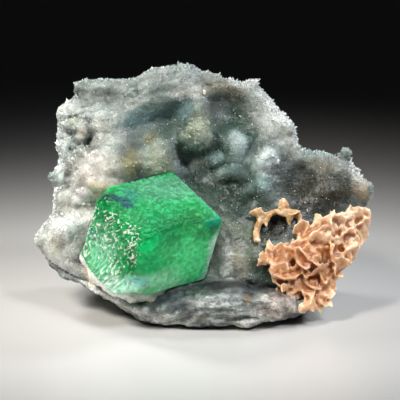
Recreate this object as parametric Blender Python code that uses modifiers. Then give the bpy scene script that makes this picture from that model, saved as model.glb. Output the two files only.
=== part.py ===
"""Green fluorite on a drusy quartz plate, with peach bladed crystals and its host rock.

The specimen is described as its face is looked at: u runs to the right, v up the face and
w out of it towards the viewer. That face frame is then leaned back by FACE_LEAN, which stands
the rock on its flat base. Lengths are in millimetres, and MM turns them into metres.
"""

import math
import random

import bmesh
import bpy
import numpy as np
from mathutils import Matrix, Vector, noise
from mathutils.bvhtree import BVHTree

MM = 0.001
FACE_LEAN = math.radians(17.0)

# The face leans back upwards by FACE_SLOPE and falls away at the sides
FACE_W = 17.5
FACE_SLOPE = 0.11
SIDE_FALL = 7.0
SIDE_REACH = 42.0

# The quartz crust: its thickness, how far behind the face its rim lies, and its overlap with the rock
CRUST_THICKNESS = 6.0
CRUST_RIM_DEPTH = 6.0
CRUST_OVERLAP = 3.0

# The host rock: its ledge stands proud of the face, its widest outline runs along the rim
LEDGE_PROUD = 5.5
LEDGE_BLEND = 3.0
ROCK_RIM_W = 13.8
ROCK_RIM_SLOPE = 0.24
ROCK_RIM_FALL = 5.0
BACK_W = -22.0
BACK_SLOPE = 0.22
BACK_HOLLOWS = 2.5
BACK_HOLLOW_SIZE = 22.0

# Surface lumps of each stone: their size across and their height
ROCK_ROUGHNESS = [(9.0, 0.9), (4.0, 0.6)]
QUARTZ_ROUGHNESS = [(7.0, 0.7), (3.0, 0.45)]
BED_ROUGHNESS = [(4.0, 0.5)]

# Gap kept between pieces that touch
CLEARANCE = 0.45

# Steps of the skins that lumps are fused under
QUARTZ_VOXEL = 0.7
BED_VOXEL = 0.4

# Triangles kept in each piece after thinning
ROCK_FACES = 1500
QUARTZ_FACES = 3000
BED_FACES = 900

# Quartz outline, anticlockwise from its right side
QUARTZ_CENTRE = (0.0, 25.0)
QUARTZ_OUTLINE = [
    (43.5, 27.0), (44.0, 31.0), (42.0, 35.5), (39.5, 40.0), (35.5, 40.5), (32.0, 42.0),
    (29.5, 41.3), (25.6, 41.8), (23.7, 44.5), (24.2, 46.5), (23.4, 49.5), (21.8, 52.4),
    (18.9, 54.0), (16.6, 56.6), (14.4, 59.9), (12.0, 61.0), (8.0, 60.7), (4.6, 61.6),
    (2.0, 62.8), (-1.2, 63.3), (-4.2, 64.8), (-6.9, 65.2), (-9.6, 64.4), (-12.4, 64.9),
    (-14.4, 63.2), (-16.2, 63.2), (-19.0, 61.6), (-22.4, 60.6), (-25.2, 61.1), (-29.3, 60.9),
    (-32.7, 60.5), (-34.4, 59.2), (-33.8, 57.4), (-36.4, 55.6), (-39.3, 53.0), (-38.8, 50.0),
    (-39.8, 46.4), (-39.0, 42.2), (-38.2, 39.2), (-39.4, 37.2), (-40.3, 32.2), (-40.1, 29.0),
    (-40.6, 24.2), (-45.2, 18.6), (-43.2, 15.0), (-41.2, 11.4), (-38.4, 9.8), (-33.9, 7.7),
    (-28.7, 5.8), (-22.1, 3.0), (-14.2, 2.0), (-7.6, 3.4), (0.3, 6.2), (9.5, 6.2),
    (17.4, 4.6), (24.5, 3.2), (29.5, 5.2), (33.0, 10.0), (37.5, 16.5), (41.5, 22.5),
]

# Host rock outline: the ledge below, and a plate hidden by the quartz above
ROCK_CENTRE = (0.0, 25.0)
ROCK_OUTLINE = [
    (40.5, 29.0), (37.5, 36.5), (30.5, 38.5), (23.0, 40.5), (21.5, 46.0), (19.0, 51.0),
    (13.5, 56.5), (6.8, 57.8), (-1.2, 60.0), (-6.5, 61.5), (-12.0, 61.2), (-20.0, 58.4),
    (-31.0, 57.0), (-35.5, 51.5), (-36.0, 43.0), (-36.4, 32.0), (-37.5, 24.0), (-41.5, 17.5),
    (-40.8, 12.0), (-37.9, 9.0), (-33.1, 6.6), (-29.5, 4.8), (-25.8, 2.6), (-21.6, 0.4),
    (-17.4, -1.8), (-12.9, -3.3), (-8.4, -4.6), (-3.7, -4.2), (2.9, -4.3), (8.2, -3.9),
    (12.1, -5.0), (15.3, -3.5), (20.0, -2.6), (25.2, -1.3), (29.0, 0.2), (31.5, 3.0),
    (33.5, 7.0), (36.0, 12.0), (39.0, 18.5),
]

# Where the ledge's top edge runs, as (u, v)
LEDGE_EDGE = [
    (-42.0, 11.6), (-34.0, 8.7), (-28.7, 6.8), (-22.0, 3.7), (-14.0, 2.6), (-7.6, 4.7),
    (0.3, 7.1), (9.5, 7.1), (17.4, 5.3), (25.0, 3.4), (42.0, 5.0),
]

# Lumps and hollows of the face: u, v, half width, half height, rise out of the face
FACE_FORMS = {
    "bowl": (5.0, 37.5, 18.0, 14.0, -6.5),
    "upper_left_hollow": (-8.0, 50.5, 9.0, 5.5, -3.5),
    "far_left_hollow": (-17.5, 49.0, 6.0, 4.0, -2.0),
    "upper_right_hollow": (7.0, 53.5, 7.5, 5.0, -4.5),
    "nose_bridge": (-1.8, 52.0, 3.0, 6.5, 4.0),
    "nose_tip": (-2.2, 46.0, 5.0, 3.8, 4.5),
    "cleft_under_nose": (-4.5, 40.0, 4.2, 3.6, -4.5),
    "pool_floor": (-1.0, 33.5, 6.0, 6.0, -2.5),
    "lump_over_crystal": (-13.0, 39.0, 5.5, 6.0, 4.0),
    "lump_beside_it": (-20.5, 38.5, 4.0, 5.0, 2.0),
    "pale_lump_left": (8.5, 42.0, 3.8, 4.2, 3.5),
    "pale_lump_right": (16.5, 38.5, 4.0, 5.5, 4.5),
    "pale_lump_low": (10.0, 35.5, 4.5, 2.8, 2.6),
    "pale_lump_lowest": (16.5, 32.0, 3.2, 3.0, 2.0),
    "lump_in_pool": (1.0, 38.5, 2.6, 2.4, 2.0),
    "right_hollow": (24.5, 35.5, 5.5, 7.5, -5.5),
    "right_lobe": (34.5, 33.5, 7.0, 7.0, 2.5),
    "upper_left_valley": (-25.5, 55.8, 8.5, 3.0, -4.5),
    "ridge_west": (-26.5, 51.5, 5.0, 2.6, 3.0),
    "ridge_east": (-18.0, 55.0, 5.5, 2.6, 3.0),
    "left_bulge": (-25.5, 46.0, 5.0, 6.5, 3.0),
    "left_cavity": (-30.6, 44.6, 2.5, 3.4, -6.5),
    "knob_in_cavity": (-32.8, 47.0, 1.8, 2.4, 2.5),
    "upper_pit": (-35.2, 51.0, 1.7, 1.3, -2.2),
    "middle_pit": (-35.0, 47.6, 2.2, 1.7, -2.6),
    "left_crack": (-35.0, 40.0, 1.3, 4.5, -3.0),
    "lobe_gap": (-36.6, 34.0, 1.5, 3.5, -4.5),
    "cream_lobe": (-27.0, 35.5, 7.5, 6.5, 7.5),
    "lobe_undercut": (-28.5, 28.2, 6.5, 1.8, -3.5),
    "lower_left_lobe": (-36.5, 20.0, 7.0, 7.0, 4.0),
    "plain_below_bowl": (8.0, 16.0, 8.0, 9.0, 2.0),
    "ring_floor": (17.5, 22.5, 6.0, 4.0, -2.0),
    "crystal_seat_right": (-1.0, 9.0, 7.0, 7.0, -5.0),
    "crystal_seat_left": (-31.0, 14.0, 5.0, 6.0, -3.0),
}

# Small lumps joined to the quartz rim: u, v, height out of the rim's middle, radius
RIM_LUMPS = {
    "right_knob": (37.9, 41.2, 1.5, 1.7),
    "left_ear": (-38.0, 35.0, 2.0, 2.9),
    "top_point": (-33.6, 59.2, 1.5, 1.7),
    "crest_left": (-15.0, 61.6, 1.0, 2.0),
    "crest_middle": (-9.5, 62.2, 1.5, 2.4),
    "shoulder": (12.6, 59.2, 1.5, 2.0),
    "right_tooth": (21.8, 48.2, 2.0, 2.2),
    "lobe_tip": (-42.8, 18.2, 1.0, 2.2),
    "right_bulge": (42.2, 31.2, 1.5, 3.0),
}

# The crystal: its nearest corner, the three edges that run back from it, and their lengths
CRYSTAL_CORNER = (-14.8, 19.4, 38.0)
CRYSTAL_EDGES = {
    "up_left": ((-0.58, 0.579, -0.573), 21.8),
    "right": ((0.781, 0.197, -0.593), 25.6),
    "down": ((-0.23, -0.791, -0.567), 21.4),
}
CRYSTAL_BEVEL = 0.7
CRYSTAL_BACK_W = 6.0
# Worn corners: the way each cut faces, as (right, up, out), and its depth
CORNER_CUTS = {
    "top_left": ((-0.70, 0.62, 0.30), 2.4),
    "bottom": ((-0.20, -0.96, 0.10), 3.0),
    "top_right": ((0.72, 0.66, -0.10), 1.6),
}

# The bladed crystals' main mass, and the open ring beside it
MAIN_BED = [
    (44.0, 25.8), (42.5, 20.0), (39.5, 15.5), (36.5, 11.0), (34.0, 7.0), (33.0, 3.5),
    (30.5, 0.8), (27.5, 0.2), (24.0, 3.0), (20.0, 5.0), (18.5, 8.0), (18.0, 11.5),
    (15.5, 13.0), (17.5, 16.0), (22.5, 16.0), (26.5, 18.0), (29.5, 22.5), (34.0, 24.0),
    (39.5, 26.0),
]
MAIN_CENTRE = (30.5, 14.0)
MAIN_BED_RISE = 2.6
MAIN_BED_DEPTH = 6.0
BED_BEHIND_FACE = 2.5
MAIN_FILLERS = 34
BLADE_SEED = 5
FILLER_SPACING = 3.0
FILLER_HALF_LENGTH = (1.9, 3.0)
FILLER_LIFT = (1.0, 3.6)
BLADE_THICKNESS = 0.85
BLADE_SIDES = 7
BLADE_TAPER = 0.72
BLADE_UNEVENNESS = (0.74, 1.16)

# Blades that stand out: u, v, lift off the bed, half length, half width, turn in the face, lean
CHOSEN_BLADES = {
    "corner_tip": (43.6, 24.6, 1.2, 2.6, 1.3, 62.0, 60.0),
    "broad_top": (40.4, 24.8, 3.0, 2.9, 2.2, 15.0, 25.0),
    "crown_left": (30.5, 22.6, 2.6, 2.8, 2.0, 88.0, 20.0),
    "crown_middle": (33.5, 23.2, 3.2, 3.0, 1.6, 90.0, 80.0),
    "crown_right": (36.4, 23.4, 3.0, 2.2, 1.5, 40.0, 35.0),
    "smooth_plate": (31.2, 18.6, 3.8, 2.4, 2.0, 10.0, 20.0),
    "whorl_outer": (39.6, 18.6, 3.4, 3.0, 2.3, 100.0, 30.0),
    "whorl_inner": (38.4, 20.6, 4.4, 2.2, 1.6, 20.0, 55.0),
    "whorl_low": (38.6, 15.6, 3.4, 2.2, 1.6, 15.0, 50.0),
    "upright_edge": (33.5, 14.8, 5.6, 3.1, 2.0, 91.0, 84.0),
    "diagonal": (29.6, 10.2, 5.4, 3.8, 1.6, 34.0, 66.0),
    "fan_front": (25.4, 13.2, 4.4, 3.4, 2.2, 118.0, 35.0),
    "fan_middle": (27.4, 14.4, 4.8, 3.4, 2.2, 118.0, 50.0),
    "fan_back": (29.4, 15.2, 4.4, 3.0, 2.0, 122.0, 60.0),
    "rosette": (20.6, 14.0, 3.4, 3.9, 2.4, 96.0, 14.0),
    "arched_petal": (26.6, 17.6, 3.4, 2.8, 1.5, 33.0, 45.0),
    "left_spike": (17.2, 15.6, 1.6, 2.9, 1.5, 80.0, 25.0),
    "left_horn": (15.6, 12.8, 1.2, 2.2, 1.2, 160.0, 25.0),
    "shelf": (21.4, 8.8, 3.2, 4.2, 1.7, 176.0, 68.0),
    "foot_left": (31.6, 8.0, 3.4, 2.4, 1.5, 95.0, 50.0),
    "foot_right": (33.8, 6.4, 2.2, 2.5, 1.7, 80.0, 45.0),
    "foot_middle": (27.6, 5.2, 3.0, 2.4, 1.8, 150.0, 30.0),
    "foot_edge": (28.8, 2.0, 2.4, 2.5, 1.6, 88.0, 78.0),
    "foot_fan": (31.6, 2.8, 2.0, 2.8, 2.0, 120.0, 35.0),
    "foot_lowest": (26.4, 0.4, 1.4, 2.0, 1.4, 45.0, 30.0),
    "low_skirt": (21.6, 4.6, 1.4, 3.0, 1.8, 160.0, 20.0),
}
RING_PATH = [
    (13.8, 18.4), (14.0, 21.5), (14.8, 24.0), (16.6, 25.0), (19.5, 26.0), (23.0, 25.8),
    (25.2, 24.4), (25.8, 21.5), (26.2, 19.0), (27.5, 17.5),
]
RING_BED_RADIUS = 0.95
RING_BED_LIFT = 1.2
RING_BEADS_PER_STEP = 4
RING_BEAD_SIZES = (0.85, 1.15)
RING_BLADES = {
    "fan": (13.8, 25.6, 1.8, 2.1, 1.4, 12.0, 20.0),
    "low_tail": (13.7, 19.4, 1.8, 1.9, 0.9, 118.0, 20.0),
    "stem": (14.6, 22.6, 2.2, 1.9, 0.9, 76.0, 25.0),
    "neck": (16.7, 23.8, 1.9, 1.9, 0.9, 72.0, 30.0),
    "top_round": (21.0, 27.7, 2.0, 1.9, 1.6, 80.0, 15.0),
    "bridge": (21.8, 25.6, 2.8, 4.2, 1.1, 178.0, 30.0),
    "inner_tooth": (22.6, 23.6, 2.0, 1.4, 1.0, 60.0, 20.0),
    "right_wing": (25.6, 21.4, 2.6, 3.0, 2.2, 48.0, 15.0),
}
LONE_CRYSTAL = (0.1, 57.4, 0.8)
LONE_CRYSTAL_RADIUS = 0.55

COLOURS = {
    "host_rock": ((0.20, 0.22, 0.22), 0.60),
    "quartz_druse": ((0.62, 0.66, 0.64), 0.35),
    "fluorite_crystal": ((0.06, 0.56, 0.24), 0.15),
    "peach_blades": ((0.84, 0.50, 0.30), 0.40),
}

SPECIMEN = bpy.data.collections.new("fluorite_on_quartz")
HELPERS = bpy.data.collections.new("cutters")


def clear_scene():
    for old in list(bpy.data.objects):
        bpy.data.objects.remove(old, do_unlink=True)
    bpy.context.scene.collection.children.link(SPECIMEN)
    bpy.context.scene.collection.children.link(HELPERS)


def face_to_world():
    """The face frame, written as x = u, y = -w, z = v, leaned back about the X axis."""
    return Matrix.Rotation(-FACE_LEAN, 4, "X")


def smooth_step(low, high, value):
    share = min(max((value - low) / (high - low), 0.0), 1.0)
    return share * share * (3.0 - 2.0 * share)


def grain(u, v, w, size, seed):
    """Smooth noise from -1 to 1 whose lumps are about size across."""
    return noise.noise(Vector((u, v, w)) / size + Vector((seed, -seed, 2.0 * seed)))


def face_plane(u, v):
    """The face without its lumps: it leans back upwards and falls away at the sides."""
    return FACE_W - FACE_SLOPE * v - SIDE_FALL * abs((u + 2.0) / SIDE_REACH) ** 3


def quartz_front(u, v):
    w = face_plane(u, v)
    for at_u, at_v, half_width, half_height, rise in FACE_FORMS.values():
        reach = ((u - at_u) / half_width) ** 2 + ((v - at_v) / half_height) ** 2
        w += rise * math.exp(-reach)
    return w


def quartz_rim(u, v):
    return face_plane(u, v) - CRUST_RIM_DEPTH


def quartz_back(u, v):
    """Deep enough to reach into the rock everywhere, where the rock's own shape cuts it."""
    under_rim = quartz_rim(u, v) - CRUST_RIM_DEPTH
    return min(under_rim, quartz_front(u, v) - CRUST_THICKNESS - CRUST_OVERLAP)


def ledge_top(u):
    return float(np.interp(u, [p[0] for p in LEDGE_EDGE], [p[1] for p in LEDGE_EDGE]))


def rock_front(u, v):
    """Under the crust, except on the ledge, where the rock comes forward past the quartz."""
    under_crust = quartz_front(u, v) - CRUST_THICKNESS
    ledge_share = smooth_step(0.0, LEDGE_BLEND, ledge_top(u) - v)
    return under_crust + ledge_share * (face_plane(u, v) + LEDGE_PROUD - under_crust)


def rock_rim(u, v):
    return ROCK_RIM_W - ROCK_RIM_SLOPE * v - ROCK_RIM_FALL * (u / SIDE_REACH) ** 2


def rock_back(u, v):
    return BACK_W + BACK_SLOPE * v + BACK_HOLLOWS * grain(u, v, 0.0, BACK_HOLLOW_SIZE, 3.0)


def reach_of(outline, centre):
    """Distance from the centre to the outline, as a function of direction."""
    spokes = []
    for u, v in outline:
        away = (u - centre[0], v - centre[1])
        spokes.append((math.atan2(away[1], away[0]), math.hypot(*away)))
    spokes.sort()
    angles = np.array([s[0] for s in spokes])
    lengths = np.array([s[1] for s in spokes])
    return lambda angle: float(np.interp(angle, angles, lengths, period=math.tau))


def new_object(name, mesh, collection):
    obj = bpy.data.objects.new(name, mesh)
    collection.objects.link(obj)
    if collection is HELPERS:
        obj.hide_render = True
        obj.display_type = "WIRE"
    return obj


def object_from(name, bm, collection):
    mesh = bpy.data.meshes.new(name)
    bm.to_mesh(mesh)
    bm.free()
    return new_object(name, mesh, collection)


def stone(name, outline, centre, front, rim, back, roughness, squareness, level=5):
    """A pebble: a sphere whose silhouette is the outline, with its own front and back relief.

    The higher its squareness, the flatter its front and back run before they turn to the rim.
    """
    reach = reach_of(outline, centre)
    bm = bmesh.new()
    bmesh.ops.create_icosphere(bm, subdivisions=level, radius=1.0)
    for vert in bm.verts:
        across, out, up = vert.co.x, -vert.co.y, vert.co.z
        share = min(math.hypot(across, up), 1.0)
        length = reach(math.atan2(up, across)) * share
        scale = length / max(share, 1e-6)
        u, v = centre[0] + across * scale, centre[1] + up * scale
        edge = rim(u, v)
        bulge = math.sqrt(max(1.0 - share**squareness, 0.0))
        surface = front(u, v) if out > 0.0 else back(u, v)
        w = edge + (surface - edge) * bulge
        bump = sum(
            height * grain(u, v, w, size, seed)
            for seed, (size, height) in enumerate(roughness, start=1)
        )
        away = Vector((across, -out, up)) * bump
        vert.co = (Vector((u, -w, v)) + away) * MM
    return object_from(name, bm, SPECIMEN)


def surface_of(stones):
    """Reads how far out of the face the outermost of these stones stands at a place."""
    trees = [BVHTree.FromPolygons(*corners_and_faces(piece)) for piece in stones]

    def height(u, v):
        start = Vector((u, -100.0, v)) * MM
        hits = [tree.ray_cast(start, Vector((0.0, 1.0, 0.0)))[0] for tree in trees]
        heights = [-hit.y / MM for hit in hits if hit]
        return max(heights + [face_plane(u, v) - BED_BEHIND_FACE])

    return height


def corners_and_faces(obj):
    corners = [vert.co.copy() for vert in obj.data.vertices]
    faces = [tuple(face.vertices) for face in obj.data.polygons]
    return corners, faces


def apply_modifiers(obj):
    graph = bpy.context.evaluated_depsgraph_get()
    mesh = bpy.data.meshes.new_from_object(obj.evaluated_get(graph))
    obj.modifiers.clear()
    obj.data = mesh


def thin_out(obj, faces):
    """Fewer triangles where the surface is plain."""
    obj.data.calc_loop_triangles()
    modifier = obj.modifiers.new("thin", "DECIMATE")
    modifier.ratio = min(1.0, faces / len(obj.data.loop_triangles))
    apply_modifiers(obj)


def fuse(obj, voxel):
    """Melts overlapping lumps into one closed skin."""
    modifier = obj.modifiers.new("fuse", "REMESH")
    modifier.mode = "VOXEL"
    modifier.voxel_size = voxel * MM
    apply_modifiers(obj)


def cut_with(obj, cutter):
    modifier = obj.modifiers.new("cut", "BOOLEAN")
    modifier.operation = "DIFFERENCE"
    modifier.object = cutter
    modifier.solver = "EXACT"
    apply_modifiers(obj)


def grown(obj, by, name):
    """A cutter: the same shape, larger all round by that many millimetres."""
    copy = new_object(name, obj.data.copy(), HELPERS)
    bm = bmesh.new()
    bm.from_mesh(copy.data)
    bm.normal_update()
    moves = [vert.normal * vert.calc_shell_factor() * by * MM for vert in bm.verts]
    for vert, move in zip(bm.verts, moves):
        vert.co += move.normalized() * min(move.length, 2.0 * by * MM)
    bm.to_mesh(copy.data)
    bm.free()
    return copy


def keep_largest_body(obj):
    """Removes crumbs that a cut left loose."""
    bm = bmesh.new()
    bm.from_mesh(obj.data)
    unseen = set(bm.verts)
    bodies = []
    while unseen:
        stack = [unseen.pop()]
        body = []
        while stack:
            vert = stack.pop()
            body.append(vert)
            for edge in vert.link_edges:
                other = edge.other_vert(vert)
                if other in unseen:
                    unseen.remove(other)
                    stack.append(other)
        bodies.append(body)
    bodies.sort(key=len, reverse=True)
    for body in bodies[1:]:
        bmesh.ops.delete(bm, geom=body, context="VERTS")
    bm.to_mesh(obj.data)
    bm.free()


def finish(obj, colour_name):
    colour, roughness = COLOURS[colour_name]
    material = bpy.data.materials.get(colour_name) or bpy.data.materials.new(colour_name)
    material.use_nodes = True
    shader = material.node_tree.nodes["Principled BSDF"]
    shader.inputs["Base Color"].default_value = (*colour, 1.0)
    shader.inputs["Roughness"].default_value = roughness
    shader.inputs["Metallic"].default_value = 0.0
    obj.data.materials.clear()
    obj.data.materials.append(material)


def make_host_rock():
    """A wedge of foliated rock: a ledge in front and a plate behind the quartz."""
    rock = stone(
        "host_rock", ROCK_OUTLINE, ROCK_CENTRE, rock_front, rock_rim, rock_back,
        ROCK_ROUGHNESS, squareness=6.0,
    )
    thin_out(rock, ROCK_FACES)
    return rock


def make_ground():
    """A block below the base, whose top cuts the rock flat."""
    ground = bmesh.new()
    bmesh.ops.create_cube(ground, size=1.0)
    bmesh.ops.scale(ground, verts=ground.verts, vec=(0.2, 0.2, 0.05))
    bmesh.ops.translate(ground, verts=ground.verts, vec=(0.0, 0.0, -0.025))
    return object_from("below_base", ground, HELPERS)


def make_quartz():
    """The drusy crust over the rock's face and round its edges."""
    quartz = stone(
        "quartz_druse", QUARTZ_OUTLINE, QUARTZ_CENTRE, quartz_front, quartz_rim, quartz_back,
        QUARTZ_ROUGHNESS, squareness=7.0,
    )
    bm = bmesh.new()
    bm.from_mesh(quartz.data)
    for u, v, lift, radius in RIM_LUMPS.values():
        place = Matrix.Translation(Vector((u, -quartz_rim(u, v) - lift, v)) * MM)
        bmesh.ops.create_icosphere(bm, subdivisions=3, radius=radius * MM, matrix=place)
    bm.to_mesh(quartz.data)
    bm.free()
    fuse(quartz, QUARTZ_VOXEL)
    thin_out(quartz, QUARTZ_FACES)
    return quartz


def cut_plane(bm, point, normal):
    """Cuts away what lies beyond a plane and closes the cut."""
    geometry = bm.verts[:] + bm.edges[:] + bm.faces[:]
    cut = bmesh.ops.bisect_plane(
        bm, geom=geometry, plane_co=point, plane_no=normal, clear_outer=True
    )
    rim = [e for e in cut["geom_cut"] if isinstance(e, bmesh.types.BMEdge)]
    bmesh.ops.contextual_create(bm, geom=rim)


def make_fluorite():
    """A slightly oblong cube seen along its body diagonal, with worn corners and edges."""
    axes = [Vector(direction).normalized() for direction, _ in CRYSTAL_EDGES.values()]
    lengths = [length for _, length in CRYSTAL_EDGES.values()]
    corner = Vector(CRYSTAL_CORNER)
    bm = bmesh.new()
    bmesh.ops.create_cube(bm, size=1.0)
    for vert in bm.verts:
        steps = [
            axis * length * (share + 0.5)
            for axis, length, share in zip(axes, lengths, vert.co)
        ]
        vert.co = corner + sum(steps, Vector())
    middle = sum((vert.co for vert in bm.verts), Vector()) / len(bm.verts)
    for direction, depth in CORNER_CUTS.values():
        way = Vector(direction).normalized()
        furthest = max((vert.co - middle).dot(way) for vert in bm.verts)
        cut_plane(bm, middle + way * (furthest - depth), way)
    cut_plane(bm, Vector((0.0, 0.0, CRYSTAL_BACK_W)), Vector((0.0, 0.0, -1.0)))
    for vert in bm.verts:
        u, v, w = vert.co
        vert.co = Vector((u, -w, v)) * MM
    bmesh.ops.recalc_face_normals(bm, faces=bm.faces)
    sharp = [edge for edge in bm.edges if edge.calc_face_angle(0.0) > math.radians(25.0)]
    bmesh.ops.bevel(
        bm, geom=sharp, offset=CRYSTAL_BEVEL * MM, segments=2, profile=0.6, affect="EDGES"
    )
    return object_from("fluorite_crystal", bm, SPECIMEN)


def add_blade(bm, place, chooser):
    """One blade: a thin plate with an uneven rim."""
    u, v, w, half_length, half_width, turn, lean = place
    turned = Matrix.Rotation(math.radians(-turn), 4, "Y")
    leaned = Matrix.Rotation(math.radians(lean), 4, "X")
    facing = Matrix.Rotation(math.radians(90.0), 4, "X")
    size = Matrix.Diagonal((half_length * MM, half_width * MM, BLADE_THICKNESS * MM, 1.0))
    at = Matrix.Translation(Vector((u, -w, v)) * MM)
    made = bmesh.ops.create_cone(
        bm, cap_ends=True, segments=BLADE_SIDES, radius1=1.0, radius2=BLADE_TAPER, depth=1.0,
    )
    pulls = [chooser.uniform(*BLADE_UNEVENNESS) for _ in range(BLADE_SIDES)]
    for vert in made["verts"]:
        spoke = round(math.atan2(vert.co.y, vert.co.x) / math.tau * BLADE_SIDES) % BLADE_SIDES
        vert.co.x *= pulls[spoke]
        vert.co.y *= pulls[spoke]
    bmesh.ops.transform(bm, verts=made["verts"], matrix=at @ turned @ leaned @ facing @ size)


def scattered_spots(outline, centre, count, spacing, chooser):
    """Points inside an outline that keep their distance from each other."""
    reach = reach_of(outline, centre)
    spots = []
    for _ in range(count * 60):
        angle = chooser.uniform(-math.pi, math.pi)
        share = math.sqrt(chooser.random())
        length = reach(angle) * share
        spot = (centre[0] + math.cos(angle) * length, centre[1] + math.sin(angle) * length)
        if all(math.dist(spot, other) > spacing for other in spots):
            spots.append(spot)
        if len(spots) == count:
            break
    return spots


def placed(blades, height):
    """The named blades, with their lifts turned into heights out of the face."""
    return [(u, v, height(u, v) + lift, *shape) for u, v, lift, *shape in blades.values()]


def main_blade_places(height, chooser):
    places = placed(CHOSEN_BLADES, height)
    for u, v in scattered_spots(MAIN_BED, MAIN_CENTRE, MAIN_FILLERS, FILLER_SPACING, chooser):
        half_length = chooser.uniform(*FILLER_HALF_LENGTH)
        half_width = half_length * chooser.uniform(0.55, 0.95)
        w = height(u, v) + chooser.uniform(*FILLER_LIFT)
        turn = chooser.uniform(0.0, 180.0)
        lean = chooser.uniform(15.0, 85.0)
        places.append((u, v, w, half_length, half_width, turn, lean))
    return places


def add_ring_beads(bm, height, chooser):
    """Beads along the ring's path, close enough to fuse into a cord."""
    for (u0, v0), (u1, v1) in zip(RING_PATH, RING_PATH[1:]):
        for step in range(RING_BEADS_PER_STEP):
            share = step / RING_BEADS_PER_STEP
            u, v = u0 + (u1 - u0) * share, v0 + (v1 - v0) * share
            at = Matrix.Translation(Vector((u, -(height(u, v) + RING_BED_LIFT), v)) * MM)
            radius = RING_BED_RADIUS * chooser.uniform(*RING_BEAD_SIZES) * MM
            bmesh.ops.create_icosphere(bm, subdivisions=2, radius=radius, matrix=at)


def make_peach_blades(height, clear_of):
    """Blades on a bed: the mass at the lower right, and the open ring that grows out of it."""
    chooser = random.Random(BLADE_SEED)
    cluster = stone(
        "peach_blades", MAIN_BED, MAIN_CENTRE,
        lambda u, v: height(u, v) + MAIN_BED_RISE,
        height,
        lambda u, v: height(u, v) - MAIN_BED_DEPTH,
        BED_ROUGHNESS, squareness=5.0, level=4,
    )
    bm = bmesh.new()
    bm.from_mesh(cluster.data)
    add_ring_beads(bm, height, chooser)
    bm.to_mesh(cluster.data)
    bm.free()
    fuse(cluster, BED_VOXEL)
    thin_out(cluster, BED_FACES)
    bm = bmesh.new()
    for place in main_blade_places(height, chooser) + placed(RING_BLADES, height):
        add_blade(bm, place, chooser)
    join = cluster.modifiers.new("join", "BOOLEAN")
    join.operation = "UNION"
    join.object = object_from("loose_blades", bm, HELPERS)
    join.solver = "EXACT"
    join.use_self = True
    apply_modifiers(cluster)
    for cutter in clear_of:
        cut_with(cluster, cutter)
    keep_largest_body(cluster)
    return cluster


def make_lone_crystal(height, clear_of):
    """A single small blade high on the druse."""
    u, v, lift = LONE_CRYSTAL
    w = height(u, v) + lift
    bm = bmesh.new()
    bmesh.ops.create_icosphere(bm, subdivisions=1, radius=LONE_CRYSTAL_RADIUS * MM)
    bmesh.ops.scale(bm, verts=bm.verts, vec=(0.9, 0.9, 1.7))
    bmesh.ops.translate(bm, verts=bm.verts, vec=Vector((u, -w, v)) * MM)
    crystal = object_from("lone_peach_crystal", bm, SPECIMEN)
    for cutter in clear_of:
        cut_with(crystal, cutter)
    keep_largest_body(crystal)
    return crystal


def main():
    clear_scene()
    fluorite = make_fluorite()
    rock = make_host_rock()
    quartz = make_quartz()
    height = surface_of([rock, quartz])
    fluorite_seat = grown(fluorite, CLEARANCE, "fluorite_seat")
    rock_seat = grown(rock, CLEARANCE, "rock_seat")
    quartz_seat = grown(quartz, CLEARANCE, "quartz_seat")
    cut_with(rock, fluorite_seat)
    for cutter in (rock_seat, fluorite_seat):
        cut_with(quartz, cutter)
    keep_largest_body(quartz)
    blades = make_peach_blades(height, [quartz_seat, rock_seat])
    lone = make_lone_crystal(height, [quartz_seat])
    for piece in (rock, quartz, fluorite, blades, lone):
        piece.data.transform(face_to_world())
    cut_with(rock, make_ground())
    keep_largest_body(rock)
    finish(rock, "host_rock")
    finish(quartz, "quartz_druse")
    finish(fluorite, "fluorite_crystal")
    finish(blades, "peach_blades")
    finish(lone, "peach_blades")


main()
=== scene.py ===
"""Green fluorite on a drusy quartz plate: the finished surfaces, the studio and the camera.

Places on the specimen are given as its face is looked at: u to the right, v up the face and w
out of it, in millimetres. The face leans back by FACE_LEAN from the upright.
"""

import itertools
import math

import bmesh
import bpy
import numpy as np
from bpy.props import FloatProperty, FloatVectorProperty, IntProperty, PointerProperty
from mathutils import Matrix, Vector
from mathutils.bvhtree import BVHTree
from mathutils.kdtree import KDTree


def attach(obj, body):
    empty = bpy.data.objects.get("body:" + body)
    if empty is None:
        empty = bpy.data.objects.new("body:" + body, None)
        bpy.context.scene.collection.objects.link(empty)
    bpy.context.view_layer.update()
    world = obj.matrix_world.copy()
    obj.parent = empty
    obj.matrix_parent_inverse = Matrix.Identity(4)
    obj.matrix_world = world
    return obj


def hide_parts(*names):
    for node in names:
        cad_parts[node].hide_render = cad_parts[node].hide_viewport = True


bl_info = {
    "name": "Green fluorite on quartz",
    "version": (1, 0, 0),
    "blender": (4, 5, 0),
    "location": "View3D > Sidebar > Specimen",
    "description": "Dresses a mineral specimen with its crystals and sets it in a plain studio",
    "category": "Object",
}

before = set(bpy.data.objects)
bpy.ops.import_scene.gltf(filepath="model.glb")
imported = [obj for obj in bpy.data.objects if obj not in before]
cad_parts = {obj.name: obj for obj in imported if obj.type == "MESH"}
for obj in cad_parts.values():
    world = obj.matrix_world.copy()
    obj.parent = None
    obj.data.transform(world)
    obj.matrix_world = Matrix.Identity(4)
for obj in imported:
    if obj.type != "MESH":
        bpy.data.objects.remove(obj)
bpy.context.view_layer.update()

MM = 0.001
FACE_LEAN = math.radians(17.0)
LEAN_TURN = np.array(Matrix.Rotation(-FACE_LEAN, 3, "X"))

# Values that the meshes keep at their corners for the materials
PAINT = "paint"
FROST = "frost"

# The darkest and the lightest that a stone's own tone may get
ROCK_TONES = (0.006, 0.72)
CRUST_TONES = (0.004, 0.85)
POINT_TONES = (0.0, 0.95)

# Sockets of the node that mixes colours, by number, because some of them share a name
MIX_SHARE, MIX_FIRST, MIX_SECOND, MIX_RESULT = 0, 6, 7, 2

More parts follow.
